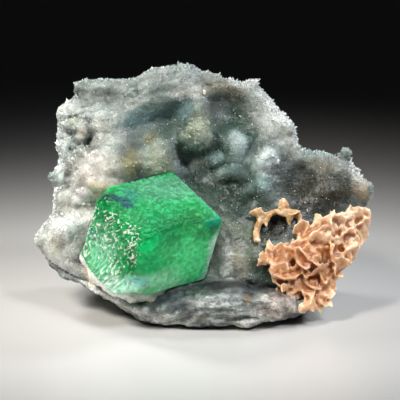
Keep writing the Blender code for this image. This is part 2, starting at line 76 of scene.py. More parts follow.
# How sharply a patch's edge fades
PATCH_EDGE = 1.9

# Caps: how wide they are against their half sizes, and how their sides fall
SOFT_CAP = (1.4, 1.4)
STEEP_CAP = (1.1, 0.8)

# Noise tables: size in millimetres, seed, layers and share
ROCK_STEPS = {"thick": (1.5, 11, 1, 1.0), "thin": (0.6, 12, 1, 0.7)}
ROCK_RELIEF = {"swells": (3.4, 13, 3, 0.5), "lumps": (1.1, 16, 2, 0.22)}
ROCK_STREAKS = {"broad": (0.8, 21, 1, 1.0), "thin": (0.35, 22, 1, 0.8)}
QUARTZ_RELIEF = {"swells": (4.8, 31, 2, 0.4), "grains": (0.9, 35, 2, 0.06)}
BLADE_GRAIN = {"ripples": (1.1, 81, 3, 0.12), "grains": (0.45, 85, 1, 0.06)}

# Host rock: how far its layers step out, and how far the ledge rises to the crust, in mm
STEP_RISE = 0.32
SHELF_RISE = 2.4

# Quartz crust: the knobs scattered over it and how far it is sunk to make room for the points,
# in mm
KNOB_COUNT = 900
KNOB_RADII = (1.2, 3.0)
KNOB_RISE = 0.25
CRUST_SINK = 0.3

# Quartz points. Spare spots make up for the ones that are dropped at the back and beside other
# stones. The turn to the back is given as how far a normal faces forward, and behind it only a
# share of the points stays. Points along the outline grow larger, and a small share is painted
# white to stand in for glints.
POINT_PIECES = 3
POINT_CORNERS = 5
SPARE_SPOTS = 1.9
TURN_TO_BACK = (-0.35, 0.1)
BACK_SHARE = 0.3
RIM_GROWTH = 2.8
PAINTED_GLINT_SHARE = 0.011
PAINTED_GLINT_POINT = "#F4F7F6"

# The cream dome, whose points are finer: u, v, half width, half height
FINE_DOME = (-27.5, 34.5, 8.0, 7.5)

# How near the rock and the crystal no quartz point stands, in mm
ROCK_GAP = 0.8
CRYSTAL_GAP = 0.5

# The lip of quartz under the crystal: how many balls it is built from, and its skin's step in mm
RIM_BALLS = 40
RIM_STEP = 0.26

# Heights over the face, in mm: where the rays that look for a stone start, and, where they meet
# none, the middle's height and how it falls with v and towards the sides
BEFORE_FACE = 100.0
BARE_HEIGHT = 15.0
BARE_FALL = 0.11
BARE_SIDE_FALL = 7.0
BARE_MIDDLE_U = -2.0
BARE_HALF_WIDTH = 42.0


def linear(code):
    """A #RRGGBB colour as the linear red, green and blue that a shader takes."""
    shares = [int(code[at:at + 2], 16) / 255.0 for at in (1, 3, 5)]
    return [s / 12.92 if s <= 0.04045 else ((s + 0.055) / 1.055) ** 2.4 for s in shares]


# Quartz: rounded lumps and pits finer than the solid's, as u, v, half width, half height, turn in
# degrees and rise
QUARTZ_FORMS = {
    "nose_top": (-1.0, 51.4, 3.2, 4.6, 0.0, 1.2),
    "nose_bulb": (-1.8, 45.8, 5.2, 3.8, 0.0, 1.5),
    "ridge_back": (-17.5, 51.6, 10.0, 2.4, 28.0, 1.1),
    "grey_green_lump": (-11.4, 39.4, 4.8, 4.4, 0.0, 1.7),
    "olive_lump": (-17.6, 39.4, 2.6, 3.8, 0.0, 0.9),
    "lump_over_dome": (-22.4, 44.4, 4.0, 2.6, 20.0, 0.9),
    "blue_lump_top": (8.8, 44.0, 3.0, 3.0, 0.0, 1.8),
    "blue_lump_low": (9.0, 39.6, 2.4, 2.6, 0.0, 1.2),
    "pool_lump_left": (2.6, 39.8, 2.8, 2.2, 0.0, 1.4),
    "pool_lump_right": (6.2, 35.8, 3.8, 2.2, 10.0, 1.4),
    "white_lump_left": (13.6, 38.8, 2.2, 3.2, 0.0, 1.2),
    "white_lump_right": (18.6, 40.6, 3.0, 3.0, 0.0, 1.4),
    "white_lump_low": (16.0, 33.6, 2.5, 2.4, 0.0, 1.1),
    "shore_lump": (10.4, 31.0, 2.8, 1.9, 0.0, 0.8),
    "band_lump_top": (13.5, 56.5, 3.6, 2.6, -30.0, 0.9),
    "band_lump_middle": (19.4, 50.6, 3.6, 4.0, 30.0, 1.0),
    "band_lump_low": (23.4, 44.6, 2.6, 3.4, 20.0, 0.8),
    "under_nose_hollow": (-4.8, 40.6, 4.6, 2.8, -20.0, -0.8),
    "deep_pool_hollow": (-0.6, 35.0, 3.4, 3.6, 0.0, -0.7),
    "dark_east_hollow": (5.6, 52.4, 4.6, 3.6, -10.0, -0.8),
    "dark_north_hollow": (-7.6, 52.4, 4.4, 2.8, 10.0, -0.8),
    "pit_high_left": (-35.6, 51.0, 0.8, 0.6, 0.0, -1.2),
    "pit_high_left_twin": (-34.0, 51.2, 0.6, 0.5, 0.0, -0.9),
    "round_lump_left": (-35.2, 48.9, 1.9, 1.8, 0.0, 1.3),
    "groove_under_lump": (-34.6, 46.6, 2.2, 0.6, 0.0, -0.9),
    "hollow_beside_knob": (-30.0, 44.2, 1.9, 1.8, 0.0, -1.1),
    "pointed_lump": (-30.6, 40.4, 1.3, 1.7, 15.0, 1.4),
    "small_lump": (-28.2, 41.4, 1.1, 1.0, 0.0, 0.8),
    "edge_pit_one": (-37.9, 45.0, 0.6, 0.6, 0.0, -0.9),
    "edge_pit_two": (-35.4, 42.3, 0.9, 0.9, 0.0, -1.6),
    "edge_pit_three": (-35.0, 39.8, 0.6, 1.2, 0.0, -1.3),
    "edge_pit_four": (-34.4, 37.3, 0.6, 1.0, 0.0, -1.2),
    "edge_pit_five": (-36.6, 35.4, 0.7, 1.1, 0.0, -1.3),
    "white_knob": (-18.8, 57.6, 1.0, 1.0, 0.0, 1.2),
    "lump_on_crest": (-14.7, 58.9, 2.2, 2.0, 0.0, 1.0),
    "crest_lump_left": (-21.6, 56.8, 2.6, 2.0, 0.0, 1.0),
    "crest_lump_right": (-6.0, 60.6, 3.0, 2.0, 0.0, 0.9),
    "side_lobe_upper": (-37.9, 30.2, 2.6, 2.0, 0.0, 1.1),
    "side_lobe_lower": (-33.2, 28.7, 2.0, 1.5, 0.0, 1.0),
    "side_notch": (-39.3, 25.6, 0.8, 0.9, 0.0, -1.3),
    "low_lobe_lump": (-37.0, 21.6, 2.8, 2.2, 0.0, 0.9),
    "low_lobe_foot": (-34.4, 15.4, 2.6, 2.4, 0.0, 0.8),
    "lobe_lump_left": (28.6, 38.4, 2.8, 1.8, 0.0, 0.8),
    "lobe_lump_right": (37.0, 36.4, 3.0, 2.0, -20.0, 0.8),
    "cleft_hollow": (25.0, 34.4, 3.0, 4.4, -18.0, -1.4),
    "slope_ridge": (4.6, 18.4, 1.6, 6.0, 10.0, 0.7),
    "slope_lump": (8.6, 12.8, 3.0, 2.2, 0.0, 0.8),
}

# Round growths with steep sides, in the same form
QUARTZ_DOMES = {
    "cream_dome": (-25.2, 36.0, 6.6, 6.2, 0.0, 2.4),
    "cream_dome_foot": (-31.0, 34.0, 3.4, 3.6, 20.0, 1.2),
    "crescent": (-32.4, 47.0, 2.0, 3.0, -20.0, 1.2),
    "beside_crescent": (-30.4, 47.6, 1.5, 2.2, -20.0, 0.6),
    "dome_skirt": (-24.6, 31.6, 5.2, 3.2, -20.0, 1.8),
    "left_swell": (-30.6, 29.4, 3.4, 3.0, 0.0, 2.0),
    "pocket_fill": (-28.8, 46.4, 2.2, 3.4, 0.0, 1.2),
    "round_growth": (-35.4, 48.9, 1.9, 1.8, 0.0, 1.1),
    "growth_over_dome": (-31.8, 41.4, 1.3, 1.6, 15.0, 1.3),
    "blue_growth": (9.0, 44.2, 3.0, 3.0, 0.0, 0.4),
    "blue_growth_low": (9.2, 39.4, 2.2, 2.6, 0.0, 0.35),
    "pool_growth": (2.6, 39.8, 2.6, 2.1, 0.0, 0.35),
    "pool_growth_low": (6.4, 36.0, 3.4, 2.0, 10.0, 0.35),
    "white_growth": (16.8, 39.8, 3.4, 3.6, 0.0, 0.3),
    "nose_growth": (-1.8, 45.8, 4.4, 3.4, 0.0, 0.3),
    "grey_green_growth": (-11.2, 39.6, 4.6, 4.8, 0.0, 0.5),
    "low_lobe_growth": (-38.4, 20.4, 3.4, 3.0, -20.0, 1.0),
    "side_lobe_growth": (-37.6, 29.8, 2.4, 2.6, 0.0, 1.0),
}

# The druse's own tones: clear where dark stone shows through, milky, or stained by iron. Some
# of them also serve as painted shade and painted light in the patches
QUARTZ_TONES = {
    "frost": "#DADFD4",
    "silver": "#BCC4BD",
    "milky": "#AAB4AA",
    "haze": "#929D97",
    "cream": "#B4B0A6",
    "warm_cream": "#C6BEAA",
    "clear_grey": "#728079",
    "grey_green": "#868F76",
    "moss": "#5A6450",
    "pale_blue": "#C4D2CC",
    "blue_white": "#A4B8B4",
    "blue": "#7C9892",
    "blue_shade": "#57726C",
    "olive": "#77754A",
    "ochre": "#85773F",
    "smoky": "#322F20",
    "pitch": "#1A170D",
    "green_shade": "#274A3A",
    "deep_green": "#163425",
    "pool": "#0A2A1C",
    "tan": "#A29274",
    "lake": "#86ACAA",
    "slate": "#78735F",
    "soot": "#36372A",
    "shell": "#F2E4C0",
    "bright_shell": "#FFF6E4",
    "white_frost": "#F4F6EE",
    "sage": "#959F84",
}
QUARTZ_BASE = "clear_grey"

# Patches of those tones as u, v, half width, half height, turn, tone, share. Those named for
# shade, shadow, glow or glint are painted shade and painted light, and a few are painted lighter
# where the lumps and the crystal cast shade
QUARTZ_PATCHES = {
    "bowl": (2.0, 43.0, 13.0, 12.0, 0.0, "green_shade", 0.75),
    "lobe": (33.0, 32.0, 12.0, 8.0, 0.0, "smoky", 0.6),
    "low_slope": (11.0, 19.0, 9.0, 9.0, 0.0, "moss", 0.85),
    "top_left_rim": (-27.0, 59.2, 9.0, 1.8, 2.0, "haze", 0.85),
    "upper_left_slope": (-30.0, 55.0, 6.0, 3.4, 20.0, "haze", 0.7),
    "upper_valley": (-22.5, 55.6, 6.0, 1.8, 12.0, "clear_grey", 0.8),
    "west_edge": (-36.5, 52.5, 3.6, 4.4, 0.0, "silver", 0.9),
    "west_wall": (-37.4, 42.0, 2.8, 8.5, 0.0, "pale_blue", 0.95),
    "west_wall_foot": (-35.4, 38.0, 1.4, 4.0, 10.0, "haze", 0.7),
    "crescent": (-32.2, 47.4, 1.5, 2.5, 0.0, "bright_shell", 0.7),
    "pocket": (-30.0, 44.6, 2.0, 2.6, 0.0, "milky", 0.7),
    "pocket_above": (-35.0, 50.4, 2.0, 1.0, 0.0, "grey_green", 0.8),
    "ridge": (-23.0, 52.0, 10.0, 2.6, 24.0, "haze", 0.95),
    "ridge_crest": (-24.0, 51.4, 9.0, 1.2, 24.0, "milky", 0.3),
    "ridge_foot": (-25.0, 46.5, 5.5, 4.0, 0.0, "milky", 0.9),
    "dome": (-28.0, 36.0, 8.2, 6.4, 0.0, "cream", 1.0),
    "dome_shade": (-22.9, 35.5, 3.2, 5.5, 0.0, "moss", 0.5),
    "dome_skirt": (-25.0, 30.6, 5.0, 2.6, -20.0, "shell", 0.9),
    # Painted light, over white frost, where shade falls between the lobe and the dome
    "left_of_crystal": (-31.5, 28.0, 4.5, 5.5, 0.0, "white_frost", 0.85),
    "pocket_right": (-28.4, 47.6, 1.8, 4.0, 0.0, "frost", 0.85),
    "ochre_spot": (-13.0, 45.6, 2.2, 1.5, 0.0, "ochre", 0.5),
    "olive_left": (-19.4, 39.0, 2.8, 4.4, 0.0, "olive", 0.9),
    "olive_spot": (-17.5, 43.6, 1.8, 1.5, 0.0, "smoky", 0.5),
    "milky_green": (-11.5, 38.8, 4.6, 4.8, 0.0, "sage", 0.95),
    "dark_west": (-17.2, 50.2, 5.2, 2.6, 20.0, "lake", 0.85),
    "dark_north": (-6.8, 53.4, 5.0, 3.0, 8.0, "lake", 0.9),
    "dark_middle": (-9.6, 49.0, 3.6, 3.0, 40.0, "green_shade", 0.7),
    "nose": (-0.6, 49.4, 2.4, 5.4, -6.0, "grey_green", 0.8),
    "nose_tip": (-1.8, 44.8, 4.2, 2.8, 0.0, "sage", 0.95),
    "nose_glow": (-2.0, 44.2, 3.2, 2.0, 0.0, "silver", 0.5),
    "crest": (-8.0, 61.4, 12.0, 3.0, 0.0, "haze", 0.85),
    "brown_crest": (4.5, 58.6, 7.0, 2.4, -8.0, "slate", 0.8),
    "dark_east": (6.0, 53.6, 7.0, 3.4, -4.0, "haze", 0.85),
    "green_east": (9.5, 50.4, 5.5, 3.4, -10.0, "green_shade", 0.9),
    "clear_pool_top": (11.0, 46.4, 6.5, 2.4, -12.0, "green_shade", 0.95),
    "east_band": (18.8, 50.2, 4.6, 9.0, 38.0, "frost", 0.85),
    "east_band_low": (22.5, 44.0, 2.4, 4.0, 20.0, "frost", 0.9),
    "top_right": (11.5, 59.6, 5.0, 2.0, -10.0, "silver", 0.9),
    "blue_lump": (9.0, 42.8, 2.4, 5.0, 8.0, "blue_white", 0.9),
    "blue_lump_left": (4.4, 40.0, 2.3, 2.0, 0.0, "blue", 0.9),
    "blue_lump_low": (7.4, 37.2, 3.0, 1.8, 0.0, "blue_shade", 0.9),
    "between_lumps": (12.4, 40.0, 1.2, 4.6, 8.0, "blue_shade", 0.8),
    "white_lump": (16.2, 38.8, 3.2, 3.8, 0.0, "pale_blue", 0.95),
    "white_lump_foot": (15.6, 33.4, 2.4, 2.4, 0.0, "blue", 0.7),
    # Painted light where the nose's lump casts shade
    "under_nose": (-4.5, 40.2, 5.4, 4.6, -30.0, "blue_white", 0.95),
    "deep_pool": (-1.0, 34.8, 4.8, 4.8, 0.0, "deep_green", 0.95),
    "pool_glint": (-0.6, 39.4, 2.4, 1.6, 0.0, "frost", 0.5),
    "dark_pool": (7.0, 31.0, 9.0, 3.4, 6.0, "pool", 0.95),
    "pool_shore": (6.5, 27.2, 7.0, 3.0, 0.0, "pool", 0.8),
    "dark_cleft": (24.8, 34.0, 5.0, 6.4, -18.0, "soot", 0.95),
    "lobe_rim": (30.5, 40.9, 7.6, 1.2, -4.0, "clear_grey", 0.9),
    "lobe_top": (31.5, 37.6, 6.0, 2.2, 0.0, "slate", 0.8),
    "lobe_brown": (34.0, 31.6, 7.4, 5.2, 0.0, "smoky", 0.95),
    "lobe_edge": (42.2, 32.0, 2.0, 6.0, 22.0, "tan", 0.9),
    "lobe_foot": (28.5, 26.4, 6.4, 3.4, 0.0, "pitch", 0.85),
    "slope": (9.0, 17.0, 6.0, 6.0, 0.0, "moss", 0.8),
    "slope_glow": (6.0, 14.0, 4.0, 4.0, 0.0, "warm_cream", 0.35),
    "slope_cream": (6.0, 10.0, 5.5, 3.2, 0.0, "warm_cream", 0.6),
    "slope_top": (12.0, 27.4, 6.6, 3.4, 0.0, "deep_green", 0.85),
    "slope_east": (15.4, 12.5, 3.4, 5.0, 0.0, "pool", 0.6),
    "ledge_shadow": (17.5, 8.2, 4.6, 2.4, -10.0, "deep_green", 0.6),
    "slope_foot": (4.0, 9.5, 5.5, 2.0, 0.0, "milky", 0.8),
    "ring_shade": (18.8, 22.0, 4.4, 3.4, 0.0, "pitch", 0.95),
    "side_lobe": (-37.0, 27.5, 4.5, 5.0, 0.0, "frost", 0.8),
    "low_lobe": (-37.6, 18.0, 8.0, 6.0, 0.0, "frost", 0.9),
    "low_lobe_amber": (-38.8, 17.6, 2.6, 2.2, -25.0, "warm_cream", 0.6),
    "low_lobe_clear": (-33.5, 21.5, 3.5, 5.5, 0.0, "silver", 0.8),
    "low_edge": (-36.0, 11.5, 6.0, 1.8, -25.0, "white_frost", 0.7),
    "crystal_foot": (-28.5, 8.6, 4.0, 1.6, -35.0, "shell", 0.8),
    "crystal_foot_right": (-15.5, 4.2, 6.0, 1.8, 12.0, "white_frost", 0.8),
    "pool_cloud": (3.0, 36.2, 4.2, 2.4, 0.0, "blue_white", 0.55),
    "pool_cloud_east": (13.8, 32.4, 3.2, 2.0, 0.0, "blue", 0.6),
    "cleft_haze": (23.0, 36.8, 6.0, 2.6, 0.0, "haze", 0.5),
    "crest_west": (-4.2, 57.2, 5.0, 2.0, 0.0, "white_frost", 0.6),
    "crest_east": (7.0, 57.2, 4.4, 2.0, 0.0, "slate", 0.6),
    "lobe_frost": (42.4, 38.0, 3.6, 4.0, 0.0, "frost", 0.6),
    # Painted light where the crystal casts a shadow beside its right edge
    "light_beside_crystal": (4.6, 12.0, 1.8, 4.6, -15.0, "white_frost", 0.8),
}

# Host rock: lumps and dents on the ledge, in the same form as the quartz lumps
ROCK_FORMS = {
    "glassy_lump": (-9.6, 2.6, 3.6, 3.0, 0.0, 1.2),
    "glassy_lump_left": (-13.6, 1.4, 2.0, 1.8, 0.0, 0.9),
    "middle_swell": (3.0, 1.0, 6.0, 3.0, 0.0, 0.8),
    "chin": (11.2, -3.6, 3.0, 1.5, 0.0, 1.4),
    "chin_groove": (10.4, -1.9, 3.4, 0.5, 0.0, -1.1),
    "pink_swell": (19.6, 1.0, 4.6, 3.0, 0.0, 0.9),
    "pink_grain": (15.6, 3.0, 1.4, 1.2, 0.0, 0.7),
    "shelf_dent": (13.6, 6.0, 3.0, 1.8, 0.0, -0.9),
    "left_dent": (-19.0, 2.6, 2.6, 1.2, -20.0, -0.7),
}

# Host rock: bands and stains, with painted glints on the glassy patch and painted shade in the
# crevice along the ledge's top, as u, v, half width, half height, turn, colour, share
ROCK_BASE = "#666B69"
ROCK_PATCHES = {
    "pale_middle": (3.0, -0.4, 8.0, 2.8, 0.0, "#8F948F", 0.85),
    "grey_green_top": (-1.5, 4.6, 7.0, 1.8, 8.0, "#3A453E", 0.85),
    "glassy": (-9.6, 2.2, 4.4, 3.8, 0.0, "#222D2F", 0.95),
    "glassy_glint": (-11.5, 0.4, 1.6, 0.7, 15.0, "#687870", 0.8),
    "glint_low": (-7.8, -0.8, 1.7, 0.6, 10.0, "#808A84", 0.8),
    # Painted shade in the crevice where the ledge meets the crust
    "shelf_shade": (4.5, 6.6, 8.0, 1.5, 0.0, "#080C0B", 0.95),
    "shelf_shade_right": (13.5, 6.6, 4.2, 2.2, 0.0, "#1B2325", 0.95),
    "dark_patch": (11.6, 3.4, 1.5, 2.2, 20.0, "#1E2628", 0.8),
    "blue_shelf": (16.4, 9.6, 3.6, 1.8, 0.0, "#303C44", 0.85),
    "pinkish": (19.2, 0.8, 6.0, 3.2, 6.0, "#94897F", 0.95),
    "pink_vein": (22.0, 4.8, 4.0, 1.6, 0.0, "#94806F", 0.7),
    "white_grain": (15.4, 3.2, 1.6, 1.2, 0.0, "#9C9E93", 0.8),
    "white_chin": (11.0, -3.6, 3.4, 1.2, 0.0, "#C8CABE", 0.9),
    "green_chin": (13.5, -2.4, 3.0, 1.2, 0.0, "#727D70", 0.7),
    "ochre_one": (-28.6, 7.2, 1.4, 0.7, -30.0, "#A6823D", 0.85),
    "ochre_two": (-14.4, 1.9, 1.6, 0.7, 20.0, "#6A5A24", 0.7),
    "ochre_three": (11.4, 3.0, 0.9, 1.1, 30.0, "#84704A", 0.8),
    "rust_spot": (-0.6, -1.6, 1.0, 0.8, 0.0, "#A8804E", 0.7),
    "rust_shelf": (11.0, 8.4, 1.8, 0.6, 0.0, "#6C582B", 0.8),
    "thin_left": (-27.0, 3.8, 6.0, 1.3, -32.0, "#C8CCC4", 0.75),
    "grey_left": (-36.0, 9.0, 5.0, 1.4, -25.0, "#6A7272", 0.8),
    "silver_foot": (-12.0, -1.8, 7.0, 1.3, -12.0, "#DCDED6", 0.85),
    "silver_foot_left": (-24.0, 3.2, 6.0, 1.2, -28.0, "#D2D4CC", 0.8),
    "bright_chin": (15.4, -2.8, 3.4, 1.4, 0.0, "#E2E2DA", 0.85),
}

# Where the ledge's top edge runs, as (u, v): the rock's layers follow it
LEDGE_EDGE = [
    (-42.0, 11.6), (-34.0, 8.7), (-28.7, 6.8), (-22.0, 3.7), (-14.0, 2.6), (-7.6, 4.7),
    (0.3, 7.1), (9.5, 7.1), (17.4, 5.3), (25.0, 3.4), (42.0, 5.0),
]

# The quartz lip under the crystal: its middle line as u, v, w, and its radius
FOOT_RIM = [
    (-31.6, 13.6, 13.0, 1.1), (-29.0, 10.2, 14.4, 1.5), (-25.8, 7.0, 15.2, 1.6),
    (-22.0, 4.8, 15.8, 1.7), (-18.4, 3.8, 16.2, 1.7), (-14.6, 3.4, 16.2, 1.6),
    (-11.6, 4.6, 15.8, 1.3), (-9.4, 6.0, 15.4, 0.9),
]

# The crystal: its nearest corner, the edges that run back from it with their lengths, and how far
# back it reaches
CRYSTAL_CORNER = (-14.8, 19.4, 38.0)
CRYSTAL_EDGES = {
    "up_left": ((-0.58, 0.579, -0.573), 21.8),
    "right": ((0.781, 0.197, -0.593), 26.1),
    "down": ((-0.23, -0.791, -0.567), 21.4),
}
CRYSTAL_BACK_W = 6.0

# Its worn outer corners: the way each one points, and how deep it is cut
CORNER_CUTS = {
    "top_left": ((-0.70, 0.62, 0.30), 2.4),
    "bottom": ((-0.20, -0.96, 0.10), 3.0),
    "top_right": ((0.72, 0.66, -0.10), 1.6),
}

# Its low left side bulges over the lip: an oval in the patches' form, and the shift in u and v
CRYSTAL_BELLY = (-26.5, 8.6, 9.0, 3.6, -42.0)
BELLY_SHIFT = (-1.5, -1.5)

# How round its near and far edges are, and how wide its etch marks are, in mm
NEAR_ROUND = 7.0
FAR_ROUND = 0.9
RIDGE_WIDTH = 0.52
RIDGE_LENGTH = 1.3
WORM_WIDTH = 0.85

# Fluorite: zones and frost, in the same form as the rock's bands. The haze and the white of the
# etched ridges are partly frost and partly painted light and glints. The right face and the foot
# are painted brighter for the glow of light passing through, and the deep band on the top face
# is partly painted shade
ETCH_HAZE = "#A6DCC2"
FROST_AND_GLINT_WHITE = "#F0F2EA"
FLUORITE_BASE = "#008E48"
FLUORITE_PATCHES = {
    # Partly painted shade on the top face
    "deep_and_shaded_band": (-4.5, 22.0, 8.0, 5.0, -12.0, "#007434", 0.9),
    "deep_top": (-13.0, 24.0, 6.0, 5.0, 30.0, "#02844A", 0.8),
    "deep_middle": (-14.0, 14.5, 4.0, 6.0, 20.0, "#0CCC74", 0.8),
    "frost_top": (-9.0, 32.2, 12.0, 3.6, 4.0, "#4A8C6A", 0.9),
    "frost_right": (1.0, 28.0, 2.6, 6.0, 38.0, "#3C9668", 0.8),
    # Painted glow of light passing through the right face and the foot
    "painted_glow_right": (-3.0, 12.6, 7.6, 7.2, 10.0, "#64FFA0", 0.95),
    "painted_glow_foot": (-11.0, 7.5, 6.0, 3.0, 15.0, "#98F4B6", 0.8),
    "frost_left": (-27.0, 14.0, 5.2, 8.0, 0.0, "#7ACA9C", 0.85),
    "pale_foot": (-21.5, 6.2, 8.5, 3.2, 10.0, "#A8DABF", 0.95),
    "pale_edge": (2.2, 14.0, 1.6, 7.0, -18.0, "#D8FFE8", 0.85),
    "dark_facet": (-25.4, 29.6, 3.0, 1.8, -15.0, "#0E5638", 0.9),
    "blue_corner": (-22.0, 28.9, 3.0, 1.0, -14.0, "#00384A", 1.0),
    "blue_fleck": (-20.0, 27.2, 1.2, 0.9, 0.0, "#004058", 1.0),
    "blue_veil": (-19.4, 30.4, 2.6, 2.0, 0.0, "#1A6A60", 0.7),
    "blue_foot": (-17.0, 8.0, 3.4, 1.4, -10.0, "#52ACB0", 0.6),
    "blue_right": (2.4, 22.8, 2.4, 1.8, 30.0, "#159072", 0.8),
    "blue_left": (-30.0, 19.4, 1.6, 2.0, 0.0, "#2D9076", 0.7),
}

# Outline of the bladed mass as (u, v), and its middle
MAIN_BED = [
    (44.0, 25.8), (42.5, 20.0), (39.5, 15.5), (36.5, 11.0), (34.0, 7.0), (33.0, 3.5),
    (30.5, 0.8), (27.5, 0.2), (24.0, 3.0), (20.0, 5.0), (18.5, 8.0), (18.0, 11.5),
    (15.5, 13.0), (17.5, 16.0), (22.5, 16.0), (26.5, 18.0), (29.5, 22.5), (34.0, 24.0),
    (39.5, 26.0),
]
MAIN_CENTRE = (30.5, 14.0)

# Small blades: how far apart their spots are and how often one is tried, their sizes and lift off
# the stone in mm, their width and thickness against the length and the large ones' thickness
SPOT_SPACING = 1.2
TRIES_PER_SPOT = 40
SMALL_HALF_LENGTHS = (1.3, 2.6)
SMALL_LIFTS = (1.6, 4.0)
SMALL_WIDTHS = (0.6, 0.95)
SMALL_THICKNESS = 0.9

# How they turn and lean, in degrees: the middle, the drift over the mass with its size in mm and
# its seed, and the scatter from blade to blade
SMALL_TURNS = (90.0, 110.0, 5.0, 91, 30.0)
SMALL_LEANS = (42.0, 30.0, 4.0, 92, 15.0)

# How the loose blades grow together: each skin's step against the last one's, its rounds of
# relaxing, and how far it then swells in mm
BLADE_SKINS = ((1.4, 0, 0.18), (1.2, 1, -0.25))

# The chosen blades' common lift, and the step of the lone crystal's skin, in mm
BLADE_LIFT = 0.3
LONE_STEP = 0.12

# How many cells a blade has around it and from its middle to its rim
LARGE_BLADE_CELLS = (36, 6)
SMALL_BLADE_CELLS = (24, 4)

# Blades painted lighter towards the top right and darker towards the lower left, and where they
# open as a ring: u, v, half width, half height
PALE_BLADES = (39.0, 22.0, 8.0, 6.0)
DEEP_BLADES = (25.0, 12.0, 11.0, 8.0)
RING_PLACE = (18.0, 24.5, 8.0, 5.5)

# Bladed crystals: u, v, lift off the stone, half length, half width, turn in the face and lean
CHOSEN_BLADES = {
    "corner_tip": (43.6, 24.6, 1.2, 2.6, 1.3, 62.0, 60.0),
    "broad_top": (40.4, 24.8, 3.0, 2.9, 2.2, 15.0, 25.0),
    "crown_left": (30.5, 22.6, 2.6, 2.8, 2.0, 88.0, 20.0),
    "crown_middle": (33.5, 23.2, 3.2, 3.0, 1.6, 90.0, 80.0),
    "crown_right": (36.4, 23.4, 3.0, 2.2, 1.5, 40.0, 35.0),
    "smooth_plate": (31.2, 18.6, 3.8, 2.4, 2.0, 10.0, 20.0),
    "whorl_outer": (39.6, 18.6, 3.4, 3.0, 2.3, 100.0, 30.0),
    "whorl_inner": (38.4, 20.6, 4.4, 2.2, 1.6, 20.0, 55.0),
    "whorl_low": (38.6, 15.6, 3.4, 2.2, 1.6, 15.0, 50.0),
    "upright_edge": (33.5, 14.8, 5.6, 3.1, 2.0, 91.0, 84.0),
    "diagonal": (29.6, 10.2, 5.4, 3.8, 1.6, 34.0, 66.0),
    "fan_front": (25.4, 13.2, 4.4, 3.4, 2.2, 118.0, 35.0),
    "fan_middle": (27.4, 14.4, 4.8, 3.4, 2.2, 118.0, 50.0),
    "fan_back": (29.4, 15.2, 4.4, 3.0, 2.0, 122.0, 60.0),
    "rosette": (20.6, 14.0, 3.4, 3.9, 2.4, 96.0, 14.0),
    "arched_petal": (26.6, 17.6, 3.4, 2.8, 1.5, 33.0, 45.0),
    "left_spike": (17.2, 15.6, 1.6, 2.9, 1.5, 80.0, 25.0),
    "left_horn": (15.6, 12.8, 1.2, 2.2, 1.2, 160.0, 25.0),
    "shelf": (21.4, 8.8, 3.2, 4.2, 1.7, 176.0, 68.0),
    "foot_left": (31.6, 8.0, 3.4, 2.4, 1.5, 95.0, 50.0),
    "foot_right": (33.8, 6.4, 2.2, 2.5, 1.7, 80.0, 45.0),
    "foot_middle": (27.6, 5.2, 3.0, 2.4, 1.8, 150.0, 30.0),
    "foot_edge": (28.8, 2.0, 2.4, 2.5, 1.6, 88.0, 78.0),
    "foot_fan": (31.6, 2.8, 2.0, 2.8, 2.0, 120.0, 35.0),
    "foot_lowest": (26.4, 0.4, 1.4, 2.0, 1.4, 45.0, 30.0),
    "low_skirt": (21.6, 4.6, 1.4, 3.0, 1.8, 160.0, 20.0),
}
RING_BLADES = {
    "fan": (13.8, 25.6, 1.8, 2.1, 1.4, 12.0, 20.0),
    "low_tail": (13.7, 19.4, 1.8, 1.9, 0.9, 118.0, 20.0),
    "stem": (14.6, 22.6, 2.2, 1.9, 0.9, 76.0, 25.0),
    "neck": (16.7, 23.8, 1.9, 1.9, 0.9, 72.0, 30.0),
    "top_round": (21.0, 27.7, 2.0, 1.9, 1.6, 80.0, 15.0),
    "bridge": (21.8, 25.6, 2.8, 4.2, 1.1, 178.0, 30.0),
    "inner_tooth": (22.6, 23.6, 2.0, 1.4, 1.0, 60.0, 20.0),
    "right_wing": (25.6, 21.4, 2.6, 3.0, 2.2, 48.0, 15.0),
}

# Stage: the face place that the camera looks at, the camera's sensor in mm, and half the floor's
# width in metres
CAMERA_TARGET = (-1.05, 28.9, 15.0)
SENSOR_WIDTH = 36.0
FLOOR_HALF = 1.5

# The faint light that comes from all round
AIR_COLOUR = "#C9CCD2"
AIR_STRENGTH = 0.01

# Lamps: place and aim in metres, width, the setting that holds the power, and colour
LEFT_AIM = (-0.028, -0.004, 0.0)
RIGHT_AIM = (0.024, -0.004, 0.0)
LAMPS = {
    "key_lamp": ((-0.25, -0.21, 0.39), LEFT_AIM, 0.15, "key_power", "#FFFAF3"),
    "fill_lamp": ((0.23, -0.25, 0.42), RIGHT_AIM, 0.15, "fill_power", "#F4F7FF"),
    "rim_lamp": ((-0.26, 0.20, 0.32), LEFT_AIM, 0.14, "rim_power", "#FFFFFF"),
    "side_lamp": ((0.30, 0.14, 0.30), RIGHT_AIM, 0.14, "side_power", "#F6FAFF"),
}


class SpecimenSizes(bpy.types.PropertyGroup):
    """Sizes of the specimen's fine surface."""

    skin_step: FloatProperty(
        name="Skin step", description="Step of the stones' fine skin",
        default=0.48 * MM, min=0.2 * MM, unit="LENGTH",
    )
    point_radius: FloatProperty(
        name="Quartz point radius", description="Half the width of a common point of the druse",
        default=0.25 * MM, min=0.1 * MM, unit="LENGTH",
    )
    point_count: IntProperty(
        name="Quartz points", description="How many points each of the three druse pieces holds",
        default=16000, min=100, max=33000,
    )
    crystal_step: FloatProperty(
        name="Crystal step", description="Step of the etched relief on the fluorite",
        default=0.2 * MM, min=0.18 * MM, unit="LENGTH",
    )
    blade_thickness: FloatProperty(
        name="Blade thickness", description="Thickness of a peach blade at its middle",
        default=0.85 * MM, min=0.3 * MM, unit="LENGTH",
    )
    blade_step: FloatProperty(
        name="Blade step", description="Step of the fused skin over the peach blades",
        default=0.21 * MM, min=0.15 * MM, unit="LENGTH",
    )
    small_blades: IntProperty(
        name="Small blades", description="How many small blades fill the bladed mass",
        default=130, min=0,
    )


